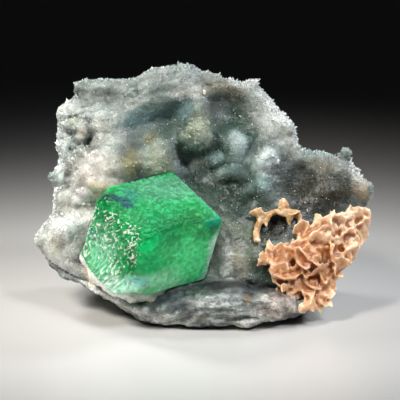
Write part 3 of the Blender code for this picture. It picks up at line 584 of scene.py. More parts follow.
class SpecimenColours(bpy.types.PropertyGroup):
    """Colours that the materials start from."""

    peach: FloatVectorProperty(
        name="Blade body", description="Colour inside a peach blade",
        default=linear("#D2A478"), size=3, min=0.0, max=1.0, subtype="COLOR",
    )
    # Also painted highlight where the blades stand out; the lone blade's whole colour
    peach_rim: FloatVectorProperty(
        name="Blade rim", description="Paler colour along a blade's thin rim",
        default=linear("#F2DCC0"), size=3, min=0.0, max=1.0, subtype="COLOR",
    )
    # Painted shade in the hollows between the blades
    peach_root_shade: FloatVectorProperty(
        name="Blade root", description="Deeper colour where the blades grow together",
        default=linear("#A05C28"), size=3, min=0.0, max=1.0, subtype="COLOR",
    )
    ring: FloatVectorProperty(
        name="Blade ring", description="Duller colour of the open ring of blades",
        default=linear("#A4865C"), size=3, min=0.0, max=1.0, subtype="COLOR",
    )
    floor: FloatVectorProperty(
        name="Floor", description="Colour of the floor near the specimen",
        default=linear("#AEADAA"), size=3, min=0.0, max=1.0, subtype="COLOR",
    )


class StudioSettings(bpy.types.PropertyGroup):
    """The camera and the lamps."""

    camera_distance: FloatProperty(
        name="Camera distance", description="From the camera to the specimen",
        default=0.70, min=0.2, unit="LENGTH",
    )
    view_width: FloatProperty(
        name="View width", description="Width that the picture takes in at the specimen",
        default=105.2 * MM, min=0.01, unit="LENGTH",
    )
    key_power: FloatProperty(
        name="Key lamp", description="Power of the large lamp above the front left",
        default=0.110, min=0.0, unit="POWER",
    )
    fill_power: FloatProperty(
        name="Fill lamp", description="Power of the soft lamp at the front right",
        default=0.080, min=0.0, unit="POWER",
    )
    rim_power: FloatProperty(
        name="Rim lamp", description="Power of the lamp behind the left side",
        default=0.055, min=0.0, unit="POWER",
    )
    side_power: FloatProperty(
        name="Side lamp", description="Power of the lamp behind the right side",
        default=0.044, min=0.0, unit="POWER",
    )
    beam: FloatProperty(
        name="Beam", description="How widely each lamp's grid lets its light fan out",
        default=math.radians(25), min=0.1, max=math.pi, subtype="ANGLE", unit="ROTATION",
    )


def face_from_upright(upright):
    """Places right, inward and up as face places (right, up and out)."""
    return np.column_stack([upright[:, 0], upright[:, 2], -upright[:, 1]])


def to_world(face):
    """Face places (u, v, w in millimetres) as world places in metres."""
    upright = np.column_stack([face[:, 0], -face[:, 2], face[:, 1]])
    return upright @ LEAN_TURN.T * MM


def to_face(world):
    """World places in metres as face places (u, v, w in millimetres)."""
    return face_from_upright(world @ LEAN_TURN / MM)


def world_spot(place):
    """One face place as a world place."""
    return Vector(to_world(np.array([place]))[0])


FACE_UP, FACE_OUT = to_world(np.array([[0.0, 1.0, 0.0], [0.0, 0.0, 1.0]])) / MM


def cell_value(cells, seed):
    """A repeatable number from -1 to 1 for each whole-numbered cell.

    The large odd numbers scramble a cell's place, so that its neighbours get unlike values.
    """
    x, y, z = cells.astype(np.int64).T
    mixed = (x * 374761393 + y * 668265263 + z * 974634721 + seed * 1274126177) & 0x7FFFFFFF
    mixed = ((mixed ^ (mixed >> 13)) * 1103515245) & 0x7FFFFFFF
    return ((mixed ^ (mixed >> 16)) & 0xFFFF) / 32767.5 - 1.0


def smooth_noise(points, size, seed):
    """Soft noise from -1 to 1 with lumps about size across."""
    spread = points / size + 17.31 * seed
    base = np.floor(spread)
    inside = spread - base
    inside = inside * inside * (3.0 - 2.0 * inside)
    total = np.zeros(len(points))
    for corner in itertools.product((0, 1), repeat=3):
        weight = np.prod(np.where(np.array(corner) == 1, inside, 1.0 - inside), axis=1)
        total += weight * cell_value(base + corner, seed)
    return total


def layered_noise(points, size, seed, layers=3):
    """Noise with finer and weaker noise added to it."""
    return sum(
        smooth_noise(points, size / 2**layer, seed + layer) / 2**layer for layer in range(layers)
    )


def mixed_noise(points, waves):
    """Noise of several sizes, from a table of size, seed, layers and share."""
    return sum(
        share * layered_noise(points, size, seed, layers)
        for size, seed, layers, share in waves.values()
    )


def noise_drift(points, size, seeds):
    """Shifts from -1 to 1, with a column for each seed."""
    return np.column_stack([smooth_noise(points, size, seed) for seed in seeds])


def smooth_step(low, high, values):
    """Shares that rise softly from 0 at the low value to 1 at the high one."""
    share = np.clip((values - low) / (high - low), 0.0, 1.0)
    return share * share * (3.0 - 2.0 * share)


def oval_distance(points, at_u, at_v, half_width, half_height, turn=0.0):
    """Squared distance of each face point from an oval's middle: 1 on its edge."""
    angle = math.radians(turn)
    du, dv = points[:, 0] - at_u, points[:, 1] - at_v
    along = (du * math.cos(angle) + dv * math.sin(angle)) / half_width
    across = (dv * math.cos(angle) - du * math.sin(angle)) / half_height
    return along**2 + across**2


def patch_share(points, *oval):
    """How far each face point is inside a soft-edged oval, from 0 to 1."""
    return np.exp(-oval_distance(points, *oval) ** PATCH_EDGE)


def cap_height(points, oval, cap):
    """Height of a rounded cap over each face point, from 0 at its rim to 1."""
    spread, profile = cap
    return np.clip(1.0 - oval_distance(points, *oval) / spread**2, 0.0, 1.0) ** profile


def painted(points, base, patches, wobble):
    """Colours of face points: ragged patches laid one after another over a base colour."""
    drift = np.column_stack([layered_noise(points, 5.0, seed) for seed in (41, 43)])
    moved = points[:, :2] + wobble * drift
    colours = np.tile(linear(base), (len(points), 1))
    for *oval, code, share in patches.values():
        colours = tinted(colours, linear(code), share * patch_share(moved, *oval))
    return colours


def tinted(colours, tint, shares):
    """Colours drawn towards one tint, each by its own share."""
    return colours + (np.array(tint) - colours) * shares[:, None]


def mesh_from(name, corners, faces):
    """A mesh from arrays of corners in metres and of faces with equally many sides."""
    mesh = bpy.data.meshes.new(name)
    mesh.vertices.add(len(corners))
    mesh.vertices.foreach_set("co", np.ascontiguousarray(corners, dtype=np.float32).ravel())
    mesh.loops.add(faces.size)
    mesh.loops.foreach_set("vertex_index", np.ascontiguousarray(faces, dtype=np.int32).ravel())
    mesh.polygons.add(len(faces))
    mesh.polygons.foreach_set("loop_start", np.arange(0, faces.size, faces.shape[1], dtype=np.int32))
    mesh.update(calc_edges=True)
    mesh.validate()
    return mesh


def mesh_of(bm, name):
    """A mesh from a bmesh, which is freed."""
    mesh = bpy.data.meshes.new(name)
    bm.to_mesh(mesh)
    bm.free()
    return mesh


def values_of(items, name, width, kind=np.float32):
    """A value that every item has, as one row for each."""
    values = np.empty(len(items) * width, dtype=kind)
    items.foreach_get(name, values)
    return values.reshape(-1, width)


def corners_of(mesh):
    return values_of(mesh.vertices, "co", 3).astype(float)


def normals_of(mesh):
    return values_of(mesh.vertices, "normal", 3).astype(float)


def triangles_of(mesh):
    mesh.calc_loop_triangles()
    return values_of(mesh.loop_triangles, "vertices", 3, np.int32)


def move_corners(mesh, corners):
    mesh.vertices.foreach_set("co", np.ascontiguousarray(corners, dtype=np.float32).ravel())
    mesh.update()


def swell(mesh, rise):
    """Moves each corner along its normal by so many millimetres."""
    move_corners(mesh, corners_of(mesh) + normals_of(mesh) * np.reshape(rise, (-1, 1)) * MM)


def store_paint(mesh, colours):
    """Keeps a colour for each corner, for the materials to read."""
    layer = mesh.color_attributes.new(PAINT, "FLOAT_COLOR", "POINT")
    layer.data.foreach_set("color", np.column_stack([colours, np.ones(len(colours))]).ravel())


def paint_of(mesh):
    return values_of(mesh.color_attributes[PAINT].data, "color", 4)[:, :3].astype(float)


def store_frost(mesh, shares):
    """Keeps how frosted each corner is, for the fluorite to read."""
    layer = mesh.attributes.new(FROST, "FLOAT", "POINT")
    layer.data.foreach_set("value", np.ascontiguousarray(shares, dtype=np.float32))


def add_piece(name, mesh, material, stands_for=()):
    """Puts a finished piece in the scene, on the specimen's body."""
    piece = bpy.data.objects.new(name, mesh)
    bpy.context.scene.collection.objects.link(piece)
    mesh.materials.clear()
    mesh.materials.append(material)
    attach(piece, "root")
    if stands_for:
        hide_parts(*stands_for)


def fine_skin(source, step, relaxing):
    """Closed solids under one fine even skin, with their flat facets relaxed."""
    bm = bmesh.new()
    bm.from_mesh(source)
    bmesh.ops.remove_doubles(bm, verts=bm.verts, dist=0.001 * MM)
    helper = bpy.data.objects.new("skin", mesh_of(bm, "skin"))
    bpy.context.scene.collection.objects.link(helper)
    remesh = helper.modifiers.new("skin", "REMESH")
    remesh.mode = "VOXEL"
    remesh.voxel_size = step
    relax = helper.modifiers.new("relax", "SMOOTH")
    relax.factor = 0.5
    relax.iterations = relaxing
    graph = bpy.context.evaluated_depsgraph_get()
    skin = bpy.data.meshes.new_from_object(helper.evaluated_get(graph))
    bpy.data.objects.remove(helper)
    return skin


def solid_of(node):
    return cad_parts[node].data


def standing_out(mesh, rounds):
    """How far each corner stands out of the mesh's own softened shape, in millimetres."""
    ends = values_of(mesh.edges, "vertices", 2, np.int32)
    count = len(mesh.vertices)
    joined = np.bincount(ends.ravel(), minlength=count)
    start = corners_of(mesh)
    soft = start.copy()
    for _ in range(rounds):
        total = np.stack([
            np.bincount(ends[:, 0], soft[ends[:, 1], axis], count)
            + np.bincount(ends[:, 1], soft[ends[:, 0], axis], count)
            for axis in range(3)
        ], axis=1)
        soft = 0.5 * soft + 0.5 * total / np.maximum(joined, 1)[:, None]
    return np.sum((start - soft) * normals_of(mesh), axis=1) / MM


def tree_of(*nodes):
    """One search tree over the solids of these nodes."""
    corners, faces = [], []
    for node in nodes:
        mesh = solid_of(node)
        start = len(corners)
        corners += [vert.co.copy() for vert in mesh.vertices]
        faces += [tuple(start + at for at in face.vertices) for face in mesh.polygons]
    return BVHTree.FromPolygons(corners, faces)


def stone_height(tree):
    """Reads how far out of the face the stones stand at a place (u, v)."""
    inward = Vector(-FACE_OUT)

    def height(u, v):
        hit = tree.ray_cast(world_spot((u, v, BEFORE_FACE)), inward)[0]
        aside = abs((u - BARE_MIDDLE_U) / BARE_HALF_WIDTH)
        bare = BARE_HEIGHT - BARE_FALL * v - BARE_SIDE_FALL * aside**3
        if hit is None:
            return bare
        return max(float(to_face(np.array([hit]))[0, 2]), bare)

    return height


def knob_heights(points, centres, radii):
    """Rounded knobs: each point's height on the knob whose centre is nearest, from 0 to 1."""
    tree = KDTree(len(centres))
    for at, centre in enumerate(centres):
        tree.insert(centre, at)
    tree.balance()
    found = [tree.find(point) for point in points]
    nearest = np.array([hit[1] for hit in found])
    away = np.array([hit[2] for hit in found])
    return np.sqrt(np.clip(1.0 - (away / radii[nearest]) ** 2, 0.0, 1.0))


def new_material(name):
    """An empty material, its tree of nodes and its output."""
    material = bpy.data.materials.new(name)
    material.use_nodes = True
    tree = material.node_tree
    tree.nodes.clear()
    return material, tree, add_node(tree, "OutputMaterial")


def add_node(tree, kind, inputs=(), **settings):
    """Adds a node, sets it up, and fills or links its inputs."""
    node = tree.nodes.new("ShaderNode" + kind)
    for key, value in settings.items():
        setattr(node, key, value)
    for key, value in dict(inputs).items():
        if isinstance(value, bpy.types.NodeSocket):
            tree.links.new(value, node.inputs[key])
        else:
            node.inputs[key].default_value = value
    return node


def toned(tree, colour, pattern, span, tones):
    """A colour times a pattern, whose span of values is stretched between two tones."""
    tone = add_node(
        tree, "MapRange",
        {"Value": pattern, "From Min": span[0], "From Max": span[1],
         "To Min": tones[0], "To Max": tones[1]},
    )
    mixed = add_node(
        tree, "Mix", {MIX_SHARE: 1.0, MIX_FIRST: colour, MIX_SECOND: tone.outputs["Result"]},
        data_type="RGBA", blend_type="MULTIPLY",
    )
    return mixed.outputs[MIX_RESULT]


def per_metre(size):
    """Texture scale of a pattern whose grains are that many millimetres across."""
    return 1.0 / (size * MM)


# Drusy quartz, grown as a coat of clear grains over milky and stained stone. It looks like damp
# sugar: fine glints on a surface that glows a little. Real grains of 0.2 mm are too fine to show,
# so they are drawn 0.55 mm across. The clouds in the stone are 1.6 mm, as real ones are.
def quartz_material(name, roughness, whitening, glow, gloss):
    """Sugary druse; whitening is how much paler its grains are than the gaps between them."""
    material, tree, output = new_material(name)
    place = add_node(tree, "TexCoord").outputs["Object"]
    paint = add_node(tree, "Attribute", attribute_name=PAINT)
    grains = add_node(
        tree, "TexVoronoi", {"Vector": place, "Scale": per_metre(0.55), "Randomness": 1.0}
    ).outputs["Distance"]
    cloud = add_node(
        tree, "TexNoise", {"Vector": place, "Scale": per_metre(1.6), "Detail": 5.0, "Roughness": 0.65}
    )
    clouded = toned(tree, paint.outputs["Color"], cloud.outputs["Fac"], (0.35, 0.68), (0.86, 1.12))
    sugary = toned(tree, clouded, grains, (0.0, 0.55), (1.0 + whitening, 1.0 - whitening))
    bump = add_node(
        tree, "Bump", {"Strength": 0.35, "Distance": 0.12 * MM, "Height": grains}, invert=True
    )
    shader = add_node(
        tree, "BsdfPrincipled",
        {"Base Color": sugary, "Roughness": roughness, "IOR": 1.544,
         "Specular IOR Level": gloss,
         "Subsurface Weight": glow, "Subsurface Radius": (1.0, 1.05, 1.0),
         "Subsurface Scale": 2.2 * MM, "Normal": bump.outputs["Normal"]},
    )
    tree.links.new(shader.outputs["BSDF"], output.inputs["Surface"])
    return material


# Schist, split along its layers. It shows dark and silvery stripes, with mica that shines in thin
# bands. Real layers of 0.2 mm and mica flakes of 0.3 mm are too fine to show, so the layers are
# drawn 0.7 mm thick and two to three and a half times as long, and the flakes 0.6 mm across.
def rock_material():
    """The rock's stripes, grit and thin shining bands over its paint."""
    material, tree, output = new_material("split_schist")
    place = add_node(tree, "TexCoord").outputs["Object"]
    paint = add_node(tree, "Attribute", attribute_name=PAINT)
    stretched = add_node(
        tree, "Mapping", {"Vector": place, "Scale": (0.28, 0.5, 1.0)}, vector_type="POINT"
    )
    layers = add_node(
        tree, "TexNoise",
        {"Vector": stretched.outputs["Vector"], "Scale": per_metre(0.7), "Detail": 6.0,
         "Roughness": 0.7, "Distortion": 0.6},
    ).outputs["Fac"]
    grit = add_node(
        tree, "TexNoise", {"Vector": place, "Scale": per_metre(0.6), "Detail": 4.0, "Roughness": 0.7}
    ).outputs["Fac"]
    striped = toned(tree, paint.outputs["Color"], layers, (0.36, 0.66), (0.55, 1.25))
    speckled = toned(tree, striped, grit, (0.35, 0.65), (0.6, 1.4))
    mica = add_node(
        tree, "MapRange",
        {"Value": layers, "From Min": 0.4, "From Max": 0.62, "To Min": 0.5, "To Max": 0.75},
    )
    bump = add_node(tree, "Bump", {"Strength": 0.8, "Distance": 0.3 * MM, "Height": grit})
    shader = add_node(
        tree, "BsdfPrincipled",
        {"Base Color": speckled, "Roughness": mica.outputs["Result"], "IOR": 1.58,
         "Normal": bump.outputs["Normal"]},
    )
    tree.links.new(shader.outputs["BSDF"], output.inputs["Surface"])
    return material


# Fluorite, clear green within and etched to a frost outside. Light enters, scatters and comes out
# as a green glow, and the frosted faces are dull where the others are glossy. Real etch pits of
# 0.05 mm are too fine to show, so they are drawn 0.35 mm across. The veils within are 2.4 mm.
def fluorite_material():
    """The crystal's veils, etch pits and frost over its paint."""
    material, tree, output = new_material("etched_fluorite")
    place = add_node(tree, "TexCoord").outputs["Object"]
    paint = add_node(tree, "Attribute", attribute_name=PAINT)
    veils = add_node(
        tree, "TexNoise", {"Vector": place, "Scale": per_metre(2.4), "Detail": 4.0, "Roughness": 0.6}
    )
    body = toned(tree, paint.outputs["Color"], veils.outputs["Fac"], (0.35, 0.7), (0.8, 1.15))
    etch = add_node(
        tree, "TexNoise", {"Vector": place, "Scale": per_metre(0.35), "Detail": 3.0}
    )
    bump = add_node(
        tree, "Bump", {"Strength": 0.25, "Distance": 0.08 * MM, "Height": etch.outputs["Fac"]}
    )
    frost = add_node(tree, "Attribute", attribute_name=FROST)
    polish = add_node(
        tree, "MapRange", {"Value": frost.outputs["Fac"], "To Min": 0.12, "To Max": 0.5}
    )
    shader = add_node(
        tree, "BsdfPrincipled",
        {"Base Color": body, "Roughness": polish.outputs["Result"], "IOR": 1.434,
         "Specular IOR Level": 0.12, "Transmission Weight": 0.15, "Subsurface Weight": 0.75,
         "Subsurface Radius": (0.3, 1.0, 0.6), "Subsurface Scale": 3.5 * MM,
         "Normal": bump.outputs["Normal"]},
    )
    inside = add_node(
        tree, "VolumeAbsorption", {"Color": (*linear("#2FCB78"), 1.0), "Density": 110.0}
    )
    tree.links.new(shader.outputs["BSDF"], output.inputs["Surface"])
    tree.links.new(inside.outputs["Volume"], output.inputs["Volume"])
    return material


# Bladed carbonate, grown as thin curved plates. It looks pearly, pale where light passes a thin
# rim and deeper where the plates grow together. Real growth lines of 0.2 mm are too fine to show,
# so they are drawn as clouds 1.1 mm across.
def blade_material():
    """The blades' growth clouds over their paint."""
    material, tree, output = new_material("pearly_carbonate_blades")
    place = add_node(tree, "TexCoord").outputs["Object"]
    paint = add_node(tree, "Attribute", attribute_name=PAINT)
    growth = add_node(
        tree, "TexNoise", {"Vector": place, "Scale": per_metre(1.1), "Detail": 5.0, "Roughness": 0.6}
    ).outputs["Fac"]
    clouded = toned(tree, paint.outputs["Color"], growth, (0.35, 0.7), (0.82, 1.12))
    bump = add_node(tree, "Bump", {"Strength": 0.3, "Distance": 0.1 * MM, "Height": growth})
    shader = add_node(
        tree, "BsdfPrincipled",
        {"Base Color": clouded, "Roughness": 0.38, "IOR": 1.6,
         "Subsurface Weight": 0.8, "Subsurface Radius": (1.0, 0.6, 0.35),
         "Subsurface Scale": 1.6 * MM, "Normal": bump.outputs["Normal"]},
    )
    tree.links.new(shader.outputs["BSDF"], output.inputs["Surface"])
    return material


# Cast acrylic sheet, pale and smooth, which gives it an even colour with a soft sheen
def floor_material(colours):
    """The plain floor's one colour."""
    material, tree, output = new_material("pale_acrylic")
    shader = add_node(
        tree, "BsdfPrincipled",
        {"Base Color": (*colours.floor, 1.0), "Roughness": 0.3, "IOR": 1.49},
    )
    tree.links.new(shader.outputs["BSDF"], output.inputs["Surface"])
    return material


def layer_height(points):
    """Height above the ledge's top edge, bent with the rock's layers."""
    edge = np.interp(points[:, 0], [p[0] for p in LEDGE_EDGE], [p[1] for p in LEDGE_EDGE])
    return points[:, 1] - edge + 1.2 * smooth_noise(points, 9.0, 5)


def shelf_swelling(normals, face, height):
    """How far the ledge's upper side is raised where it meets the crust, in millimetres."""
    upper = np.clip(normals @ FACE_UP, 0.0, 1.0)
    near_edge = np.exp(-((height / 4.0) ** 2))
    forward = smooth_step(20.5, 14.0, face[:, 2]) * smooth_step(6.0, 13.0, face[:, 2])
    return SHELF_RISE * upper * near_edge * forward


def make_rock(sizes):
    """The host rock, split into thin layers that stand out as low steps."""
    mesh = fine_skin(solid_of("host_rock"), sizes.skin_step, 4)
    corners, normals = corners_of(mesh), normals_of(mesh)
    face = to_face(corners)
    height = layer_height(face)
    flat = np.column_stack([height, 0.20 * face[:, 0], 0.3 * face[:, 2]])
    steps = np.tanh(2.2 * mixed_noise(flat, ROCK_STEPS))
    rise = STEP_RISE * steps + mixed_noise(face, ROCK_RELIEF)
    for *oval, form_rise in ROCK_FORMS.values():
        rise += form_rise * cap_height(face, oval, SOFT_CAP)
    grounded = smooth_step(0.3, 1.6, corners[:, 2] / MM)
    shelf = shelf_swelling(normals, face, height)
    moved = corners + normals * (rise * grounded * MM)[:, None]
    move_corners(mesh, moved + np.outer(shelf * MM, FACE_UP))
    face = to_face(corners_of(mesh))
    # Light and dark layers, flecks, and the shade beside what stands out
    streaks, flecks = mixed_noise(flat, ROCK_STREAKS), layered_noise(face, 1.1, 24, 2)
    proud = np.tanh(standing_out(mesh, 8) / 0.25)
    tone = np.exp(0.4 * streaks + 0.55 * flecks + 0.5 * proud)
    # Painted shade: a dark line where the ledge meets the crust
    cleft = 1.0 - 0.4 * np.exp(-((layer_height(face) - 0.6) / 0.7) ** 2)
    paint = painted(face, ROCK_BASE, ROCK_PATCHES, 1.0) * (tone * cleft)[:, None]
    store_paint(mesh, np.clip(paint, *ROCK_TONES))
    mesh.shade_smooth()
    add_piece("host_rock_skin", mesh, rock_material(), ["host_rock"])


def quartz_paint(face):
    """The druse's tones; away from the photographed face it is all clear grey."""
    patches = {
        name: (*oval, QUARTZ_TONES[tone], share)
        for name, (*oval, tone, share) in QUARTZ_PATCHES.items()
    }
    return painted(face, QUARTZ_TONES[QUARTZ_BASE], patches, 1.1)


def make_quartz_body(sizes):
    """The crust under the points: rounded growths, pits and soft hollows."""
    mesh = fine_skin(solid_of("quartz_druse"), sizes.skin_step, 5)
    face, facing = to_face(corners_of(mesh)), np.clip(normals_of(mesh) @ FACE_OUT, 0.0, 1.0)
    chooser = np.random.default_rng(7)
    seeds = face[chooser.choice(len(face), KNOB_COUNT, replace=False)]
    knobs = knob_heights(face, seeds, chooser.uniform(*KNOB_RADII, len(seeds)))
    rise = KNOB_RISE * knobs + mixed_noise(face, QUARTZ_RELIEF) - CRUST_SINK
    bent = face[:, :2] + 0.5 * noise_drift(face, 2.6, (37, 38))
    for forms, cap in ((QUARTZ_FORMS, SOFT_CAP), (QUARTZ_DOMES, STEEP_CAP)):
        for *oval, form_rise in forms.values():
            rise += form_rise * cap_height(bent, oval, cap) * facing
    swell(mesh, rise)
    # Painted light and shade: rises are lighter, partly as milkier frost, and the hollows
    # between them are darker
    proud, broad = standing_out(mesh, 10), standing_out(mesh, 70)
    mottle_and_shading = 1.0 + 0.08 * layered_noise(face, 2.4, 45)
    mottle_and_shading += 0.15 * np.tanh(proud / 0.2) + 0.22 * np.tanh(broad / 0.6)
    store_paint(mesh, np.clip(quartz_paint(face) * mottle_and_shading[:, None], *CRUST_TONES))
    mesh.shade_smooth()
    material = quartz_material("milky_quartz", roughness=0.42, whitening=0.16, glow=1.0, gloss=0.4)
    add_piece("quartz_crust", mesh, material, ["quartz_druse"])


def scattered_on(mesh, count, chooser):
    """Places, normals and the number of a near corner, spread evenly over a mesh."""
    triangles = triangles_of(mesh)
    corners = corners_of(mesh)[triangles]
    crossed = np.cross(corners[:, 1] - corners[:, 0], corners[:, 2] - corners[:, 0])
    areas = np.linalg.norm(crossed, axis=1)
    chosen = chooser.choice(len(triangles), count, p=areas / areas.sum())
    share = np.sqrt(chooser.random(count))[:, None]
    split = chooser.random(count)[:, None]
    a, b, c = (corners[chosen, side] for side in range(3))
    places = a * (1.0 - share) + b * share * (1.0 - split) + c * share * split
    return places, crossed[chosen] / areas[chosen][:, None], triangles[chosen, 0]


def unit(vectors):
    """The same directions at length 1."""
    return vectors / np.maximum(np.linalg.norm(vectors, axis=1), 1e-12)[:, None]


def pointed_crystals(name, places, axes, radii, lengths, chooser):
    """Four-sided points in one mesh, each closed and sunk by its base."""
    sideways = unit(np.cross(axes, unit(chooser.normal(size=axes.shape))))
    across = np.cross(axes, sideways)
    sunk = places - axes * (0.6 * lengths)[:, None]
    parts = []
    for turn in np.arange(4) * math.tau / 4.0:
        uneven = chooser.uniform(0.75, 1.25, len(places))
        ring = sideways * math.cos(turn) + across * math.sin(turn)
        parts.append(sunk + ring * (radii * uneven)[:, None])
    parts.append(places + axes * (0.5 * lengths)[:, None])
    corners = np.stack(parts, axis=1).reshape(-1, 3)
    pattern = np.array([(0, 1, 4), (1, 2, 4), (2, 3, 4), (3, 0, 4), (0, 2, 1), (0, 3, 2)])
    faces = (np.arange(len(places)) * POINT_CORNERS)[:, None, None] + pattern[None]
    return mesh_from(name, corners, faces.reshape(-1, 3))


def make_quartz_points(sizes):
    """The sugary coat of small points, in three pieces, with a few painted white ones as glints."""
    crust = bpy.data.objects["quartz_crust"].data
    paint = paint_of(crust)
    rock, crystal = tree_of("host_rock"), tree_of("fluorite_crystal")
    material = quartz_material(
        "clear_quartz_points", roughness=0.25, whitening=0.0, glow=0.7, gloss=0.3
    )
    for batch in range(POINT_PIECES):
        chooser = np.random.default_rng(100 + batch)
        spots = scattered_on(crust, int(sizes.point_count * SPARE_SPOTS), chooser)
        in_front = smooth_step(*TURN_TO_BACK, spots[1] @ FACE_OUT)
        kept = chooser.random(len(in_front)) < BACK_SHARE + (1.0 - BACK_SHARE) * in_front
        spots = [part[kept] for part in spots]
        free = [
            rock.find_nearest(Vector(p), ROCK_GAP * MM)[0] is None
            and crystal.find_nearest(Vector(p), CRYSTAL_GAP * MM)[0] is None
            for p in spots[0]
        ]
        places, normals, near = (part[free][:sizes.point_count] for part in spots)
        count, face, facing = len(places), to_face(places), normals @ FACE_OUT
        coarse = 1.0 + 0.35 * smooth_noise(face, 6.0, 51) - 0.4 * patch_share(face, *FINE_DOME)
        coarse += 0.5 * (1.0 - smooth_step(*TURN_TO_BACK, facing))
        # Painted glints: a few points coloured near white
        bright = chooser.random(count) < PAINTED_GLINT_SHARE
        radii = sizes.point_radius * coarse * chooser.lognormal(0.0, 0.3, count)
        outermost = np.exp(-((facing / 0.4) ** 2)) * chooser.random(count) ** 2
        radii = np.where(bright, 1.2 * sizes.point_radius, radii) * (1.0 + RIM_GROWTH * outermost)
        lengths = radii * chooser.uniform(1.1, 1.9, count)
        axes = unit(normals + 0.35 * chooser.normal(size=normals.shape))
        name = f"quartz_points_{batch + 1}"
        mesh = pointed_crystals(name, places, axes, radii, lengths, chooser)
        lighter = (0.98 + 0.7 * chooser.random(count) ** 4)[:, None]
        tint = np.clip(paint[near] * lighter, *POINT_TONES)
        tint[bright] = linear(PAINTED_GLINT_POINT)
        store_paint(mesh, np.repeat(tint, POINT_CORNERS, axis=0))
        add_piece(name, mesh, material)


def make_foot_rim():
    """The thin cream lip of quartz that the crystal's foot stands in."""
    chooser = np.random.default_rng(61)
    path = np.array(FOOT_RIM)
    shares = np.linspace(0.0, len(path) - 1.0, RIM_BALLS)
    spine = np.column_stack([np.interp(shares, np.arange(len(path)), column) for column in path.T])
    bm = bmesh.new()
    for *middle, radius in spine:
        spot = Matrix.Translation(world_spot(middle + chooser.uniform(-0.35, 0.35, 3)))
        size = radius * chooser.uniform(0.75, 1.3) * MM
        bmesh.ops.create_icosphere(bm, subdivisions=2, radius=size, matrix=spot)
    mesh = fine_skin(mesh_of(bm, "balls"), RIM_STEP * MM, 10)
    mesh.name = "crystal_foot_rim"
    face = to_face(corners_of(mesh))
    swell(mesh, 0.35 * layered_noise(face, 1.8, 95))
    share = smooth_step(-0.2, 0.3, smooth_noise(face, 2.2, 97))
    white = np.tile(linear(QUARTZ_TONES["white_frost"]), (len(face), 1))
    # Painted light: colours pushed past white, so that the lip, which faces down into shade, looks as
    # bright as the lit quartz
    store_paint(mesh, 1.15 * tinted(white, linear(QUARTZ_TONES["frost"]), share))
    mesh.shade_smooth()
    add_piece("crystal_foot_rim", mesh, bpy.data.materials["milky_quartz"])


def crystal_lattice(counts):
    """The surface of a box of cells as lattice corners and quads that face outwards."""
    corners, quads, start = [], [], 0
    for fixed in range(3):
        first, second = (fixed + 1) % 3, (fixed + 2) % 3
        rows, columns = np.meshgrid(
            np.arange(counts[first] + 1), np.arange(counts[second] + 1), indexing="ij"
        )
        for side in (0, counts[fixed]):
            sheet = np.full((rows.size, 3), side)
            sheet[:, first], sheet[:, second] = rows.ravel(), columns.ravel()
            at = np.arange(rows.size).reshape(rows.shape) + start
            ring = [at[:-1, :-1], at[1:, :-1], at[1:, 1:], at[:-1, 1:]]
            if side == 0:
                ring.reverse()
            quads.append(np.stack([part.ravel() for part in ring], axis=1))
            corners.append(sheet)
            start += len(sheet)
    unique, back = np.unique(np.concatenate(corners), axis=0, return_inverse=True)
    return unique, back.reshape(-1)[np.concatenate(quads)]


def etched_relief(along, points):
    """For right, left and top faces: how far the etched relief rises, and how light it looks.

    The left face has broken ridges, the top one worm-like furrows and the right one soft swells.
    Between the rises and the tones stands how white the left face's ridges are: partly frost and
    partly painted glints. On all three faces the tones are painted light where the relief rises
    and painted shade in its troughs and furrows. Rises and the sizes of the noise are in
    millimetres.
    """
    across = 0.81 * along[:, 0] - 0.58 * along[:, 2]
    lengthwise = 0.58 * along[:, 0] + 0.81 * along[:, 2]
    lines = np.column_stack([across / RIDGE_WIDTH, lengthwise / RIDGE_LENGTH, 0.3 * points[:, 2]])
    lines += 0.3 * noise_drift(points, 0.9, (61, 62, 71))
    away = np.abs(smooth_noise(lines, 1.0, 75))
    trough = smooth_step(0.2, 0.6, away)
    broken = smooth_noise(points, 0.6, 76) + 0.6 * smooth_noise(points, 3.0, 74)
    ridges = smooth_step(0.26, 0.06, away) * smooth_step(-0.1, 0.3, broken)
    left = 0.22 * (ridges - trough) + 0.10 * smooth_noise(points, 0.6, 63)
    right = 0.14 * layered_noise(points, 2.2, 69) + 0.10 * smooth_noise(points, 0.7, 72)
    bent = points + 0.4 * noise_drift(points, 0.9, (64, 65, 66))
    worms = 1.3 * smooth_step(0.0, 0.5, np.abs(smooth_noise(bent, WORM_WIDTH, 67))) - 0.7
    top = 0.24 * worms + 0.08 * smooth_noise(bent, 0.5, 68)
    tone = np.column_stack([
        smooth_noise(points, 0.7, 72), 0.4 - 1.4 * trough,
        worms + 0.4 * smooth_noise(points, 2.0, 77),
    ])
    return np.column_stack([right, left, top]), 0.9 * ridges, tone


def worn_block(along, lengths, axes):
    """Places on a block with a broadly rounded near corner, and the outward ways along its axes."""
    reach = (along / lengths).max(axis=1)
    near_round = NEAR_ROUND + smooth_noise(along, 4.0, 59) - 4.5 * smooth_step(0.5, 1.0, reach)
    near_round = near_round[:, None]
    inner = np.clip(along, near_round, lengths - FAR_ROUND)
    rounding = np.where(along < near_round, near_round, FAR_ROUND)
    outward = unit((along - inner) / rounding)
    return np.array(CRYSTAL_CORNER) + (inner + outward * rounding) @ axes, outward


def cut_corners(moved, points, lengths, axes):
    """Wears the outer corners flat, with a slightly uneven cut."""
    near = np.array(CRYSTAL_CORNER)
    middle = near + 0.5 * lengths @ axes
    solid = np.array([
        near + np.array(corner) * lengths @ axes for corner in itertools.product((0, 1), repeat=3)
    ])
    for direction, depth in CORNER_CUTS.values():
        way = np.array(direction) / np.linalg.norm(direction)
        limit = ((solid - middle) @ way).max() - depth
        over = np.maximum((moved - middle) @ way - limit, 0.0)
        moved = moved - way * (over * (1.0 - 0.04 * smooth_noise(points, 0.8, 73)))[:, None]
    return moved


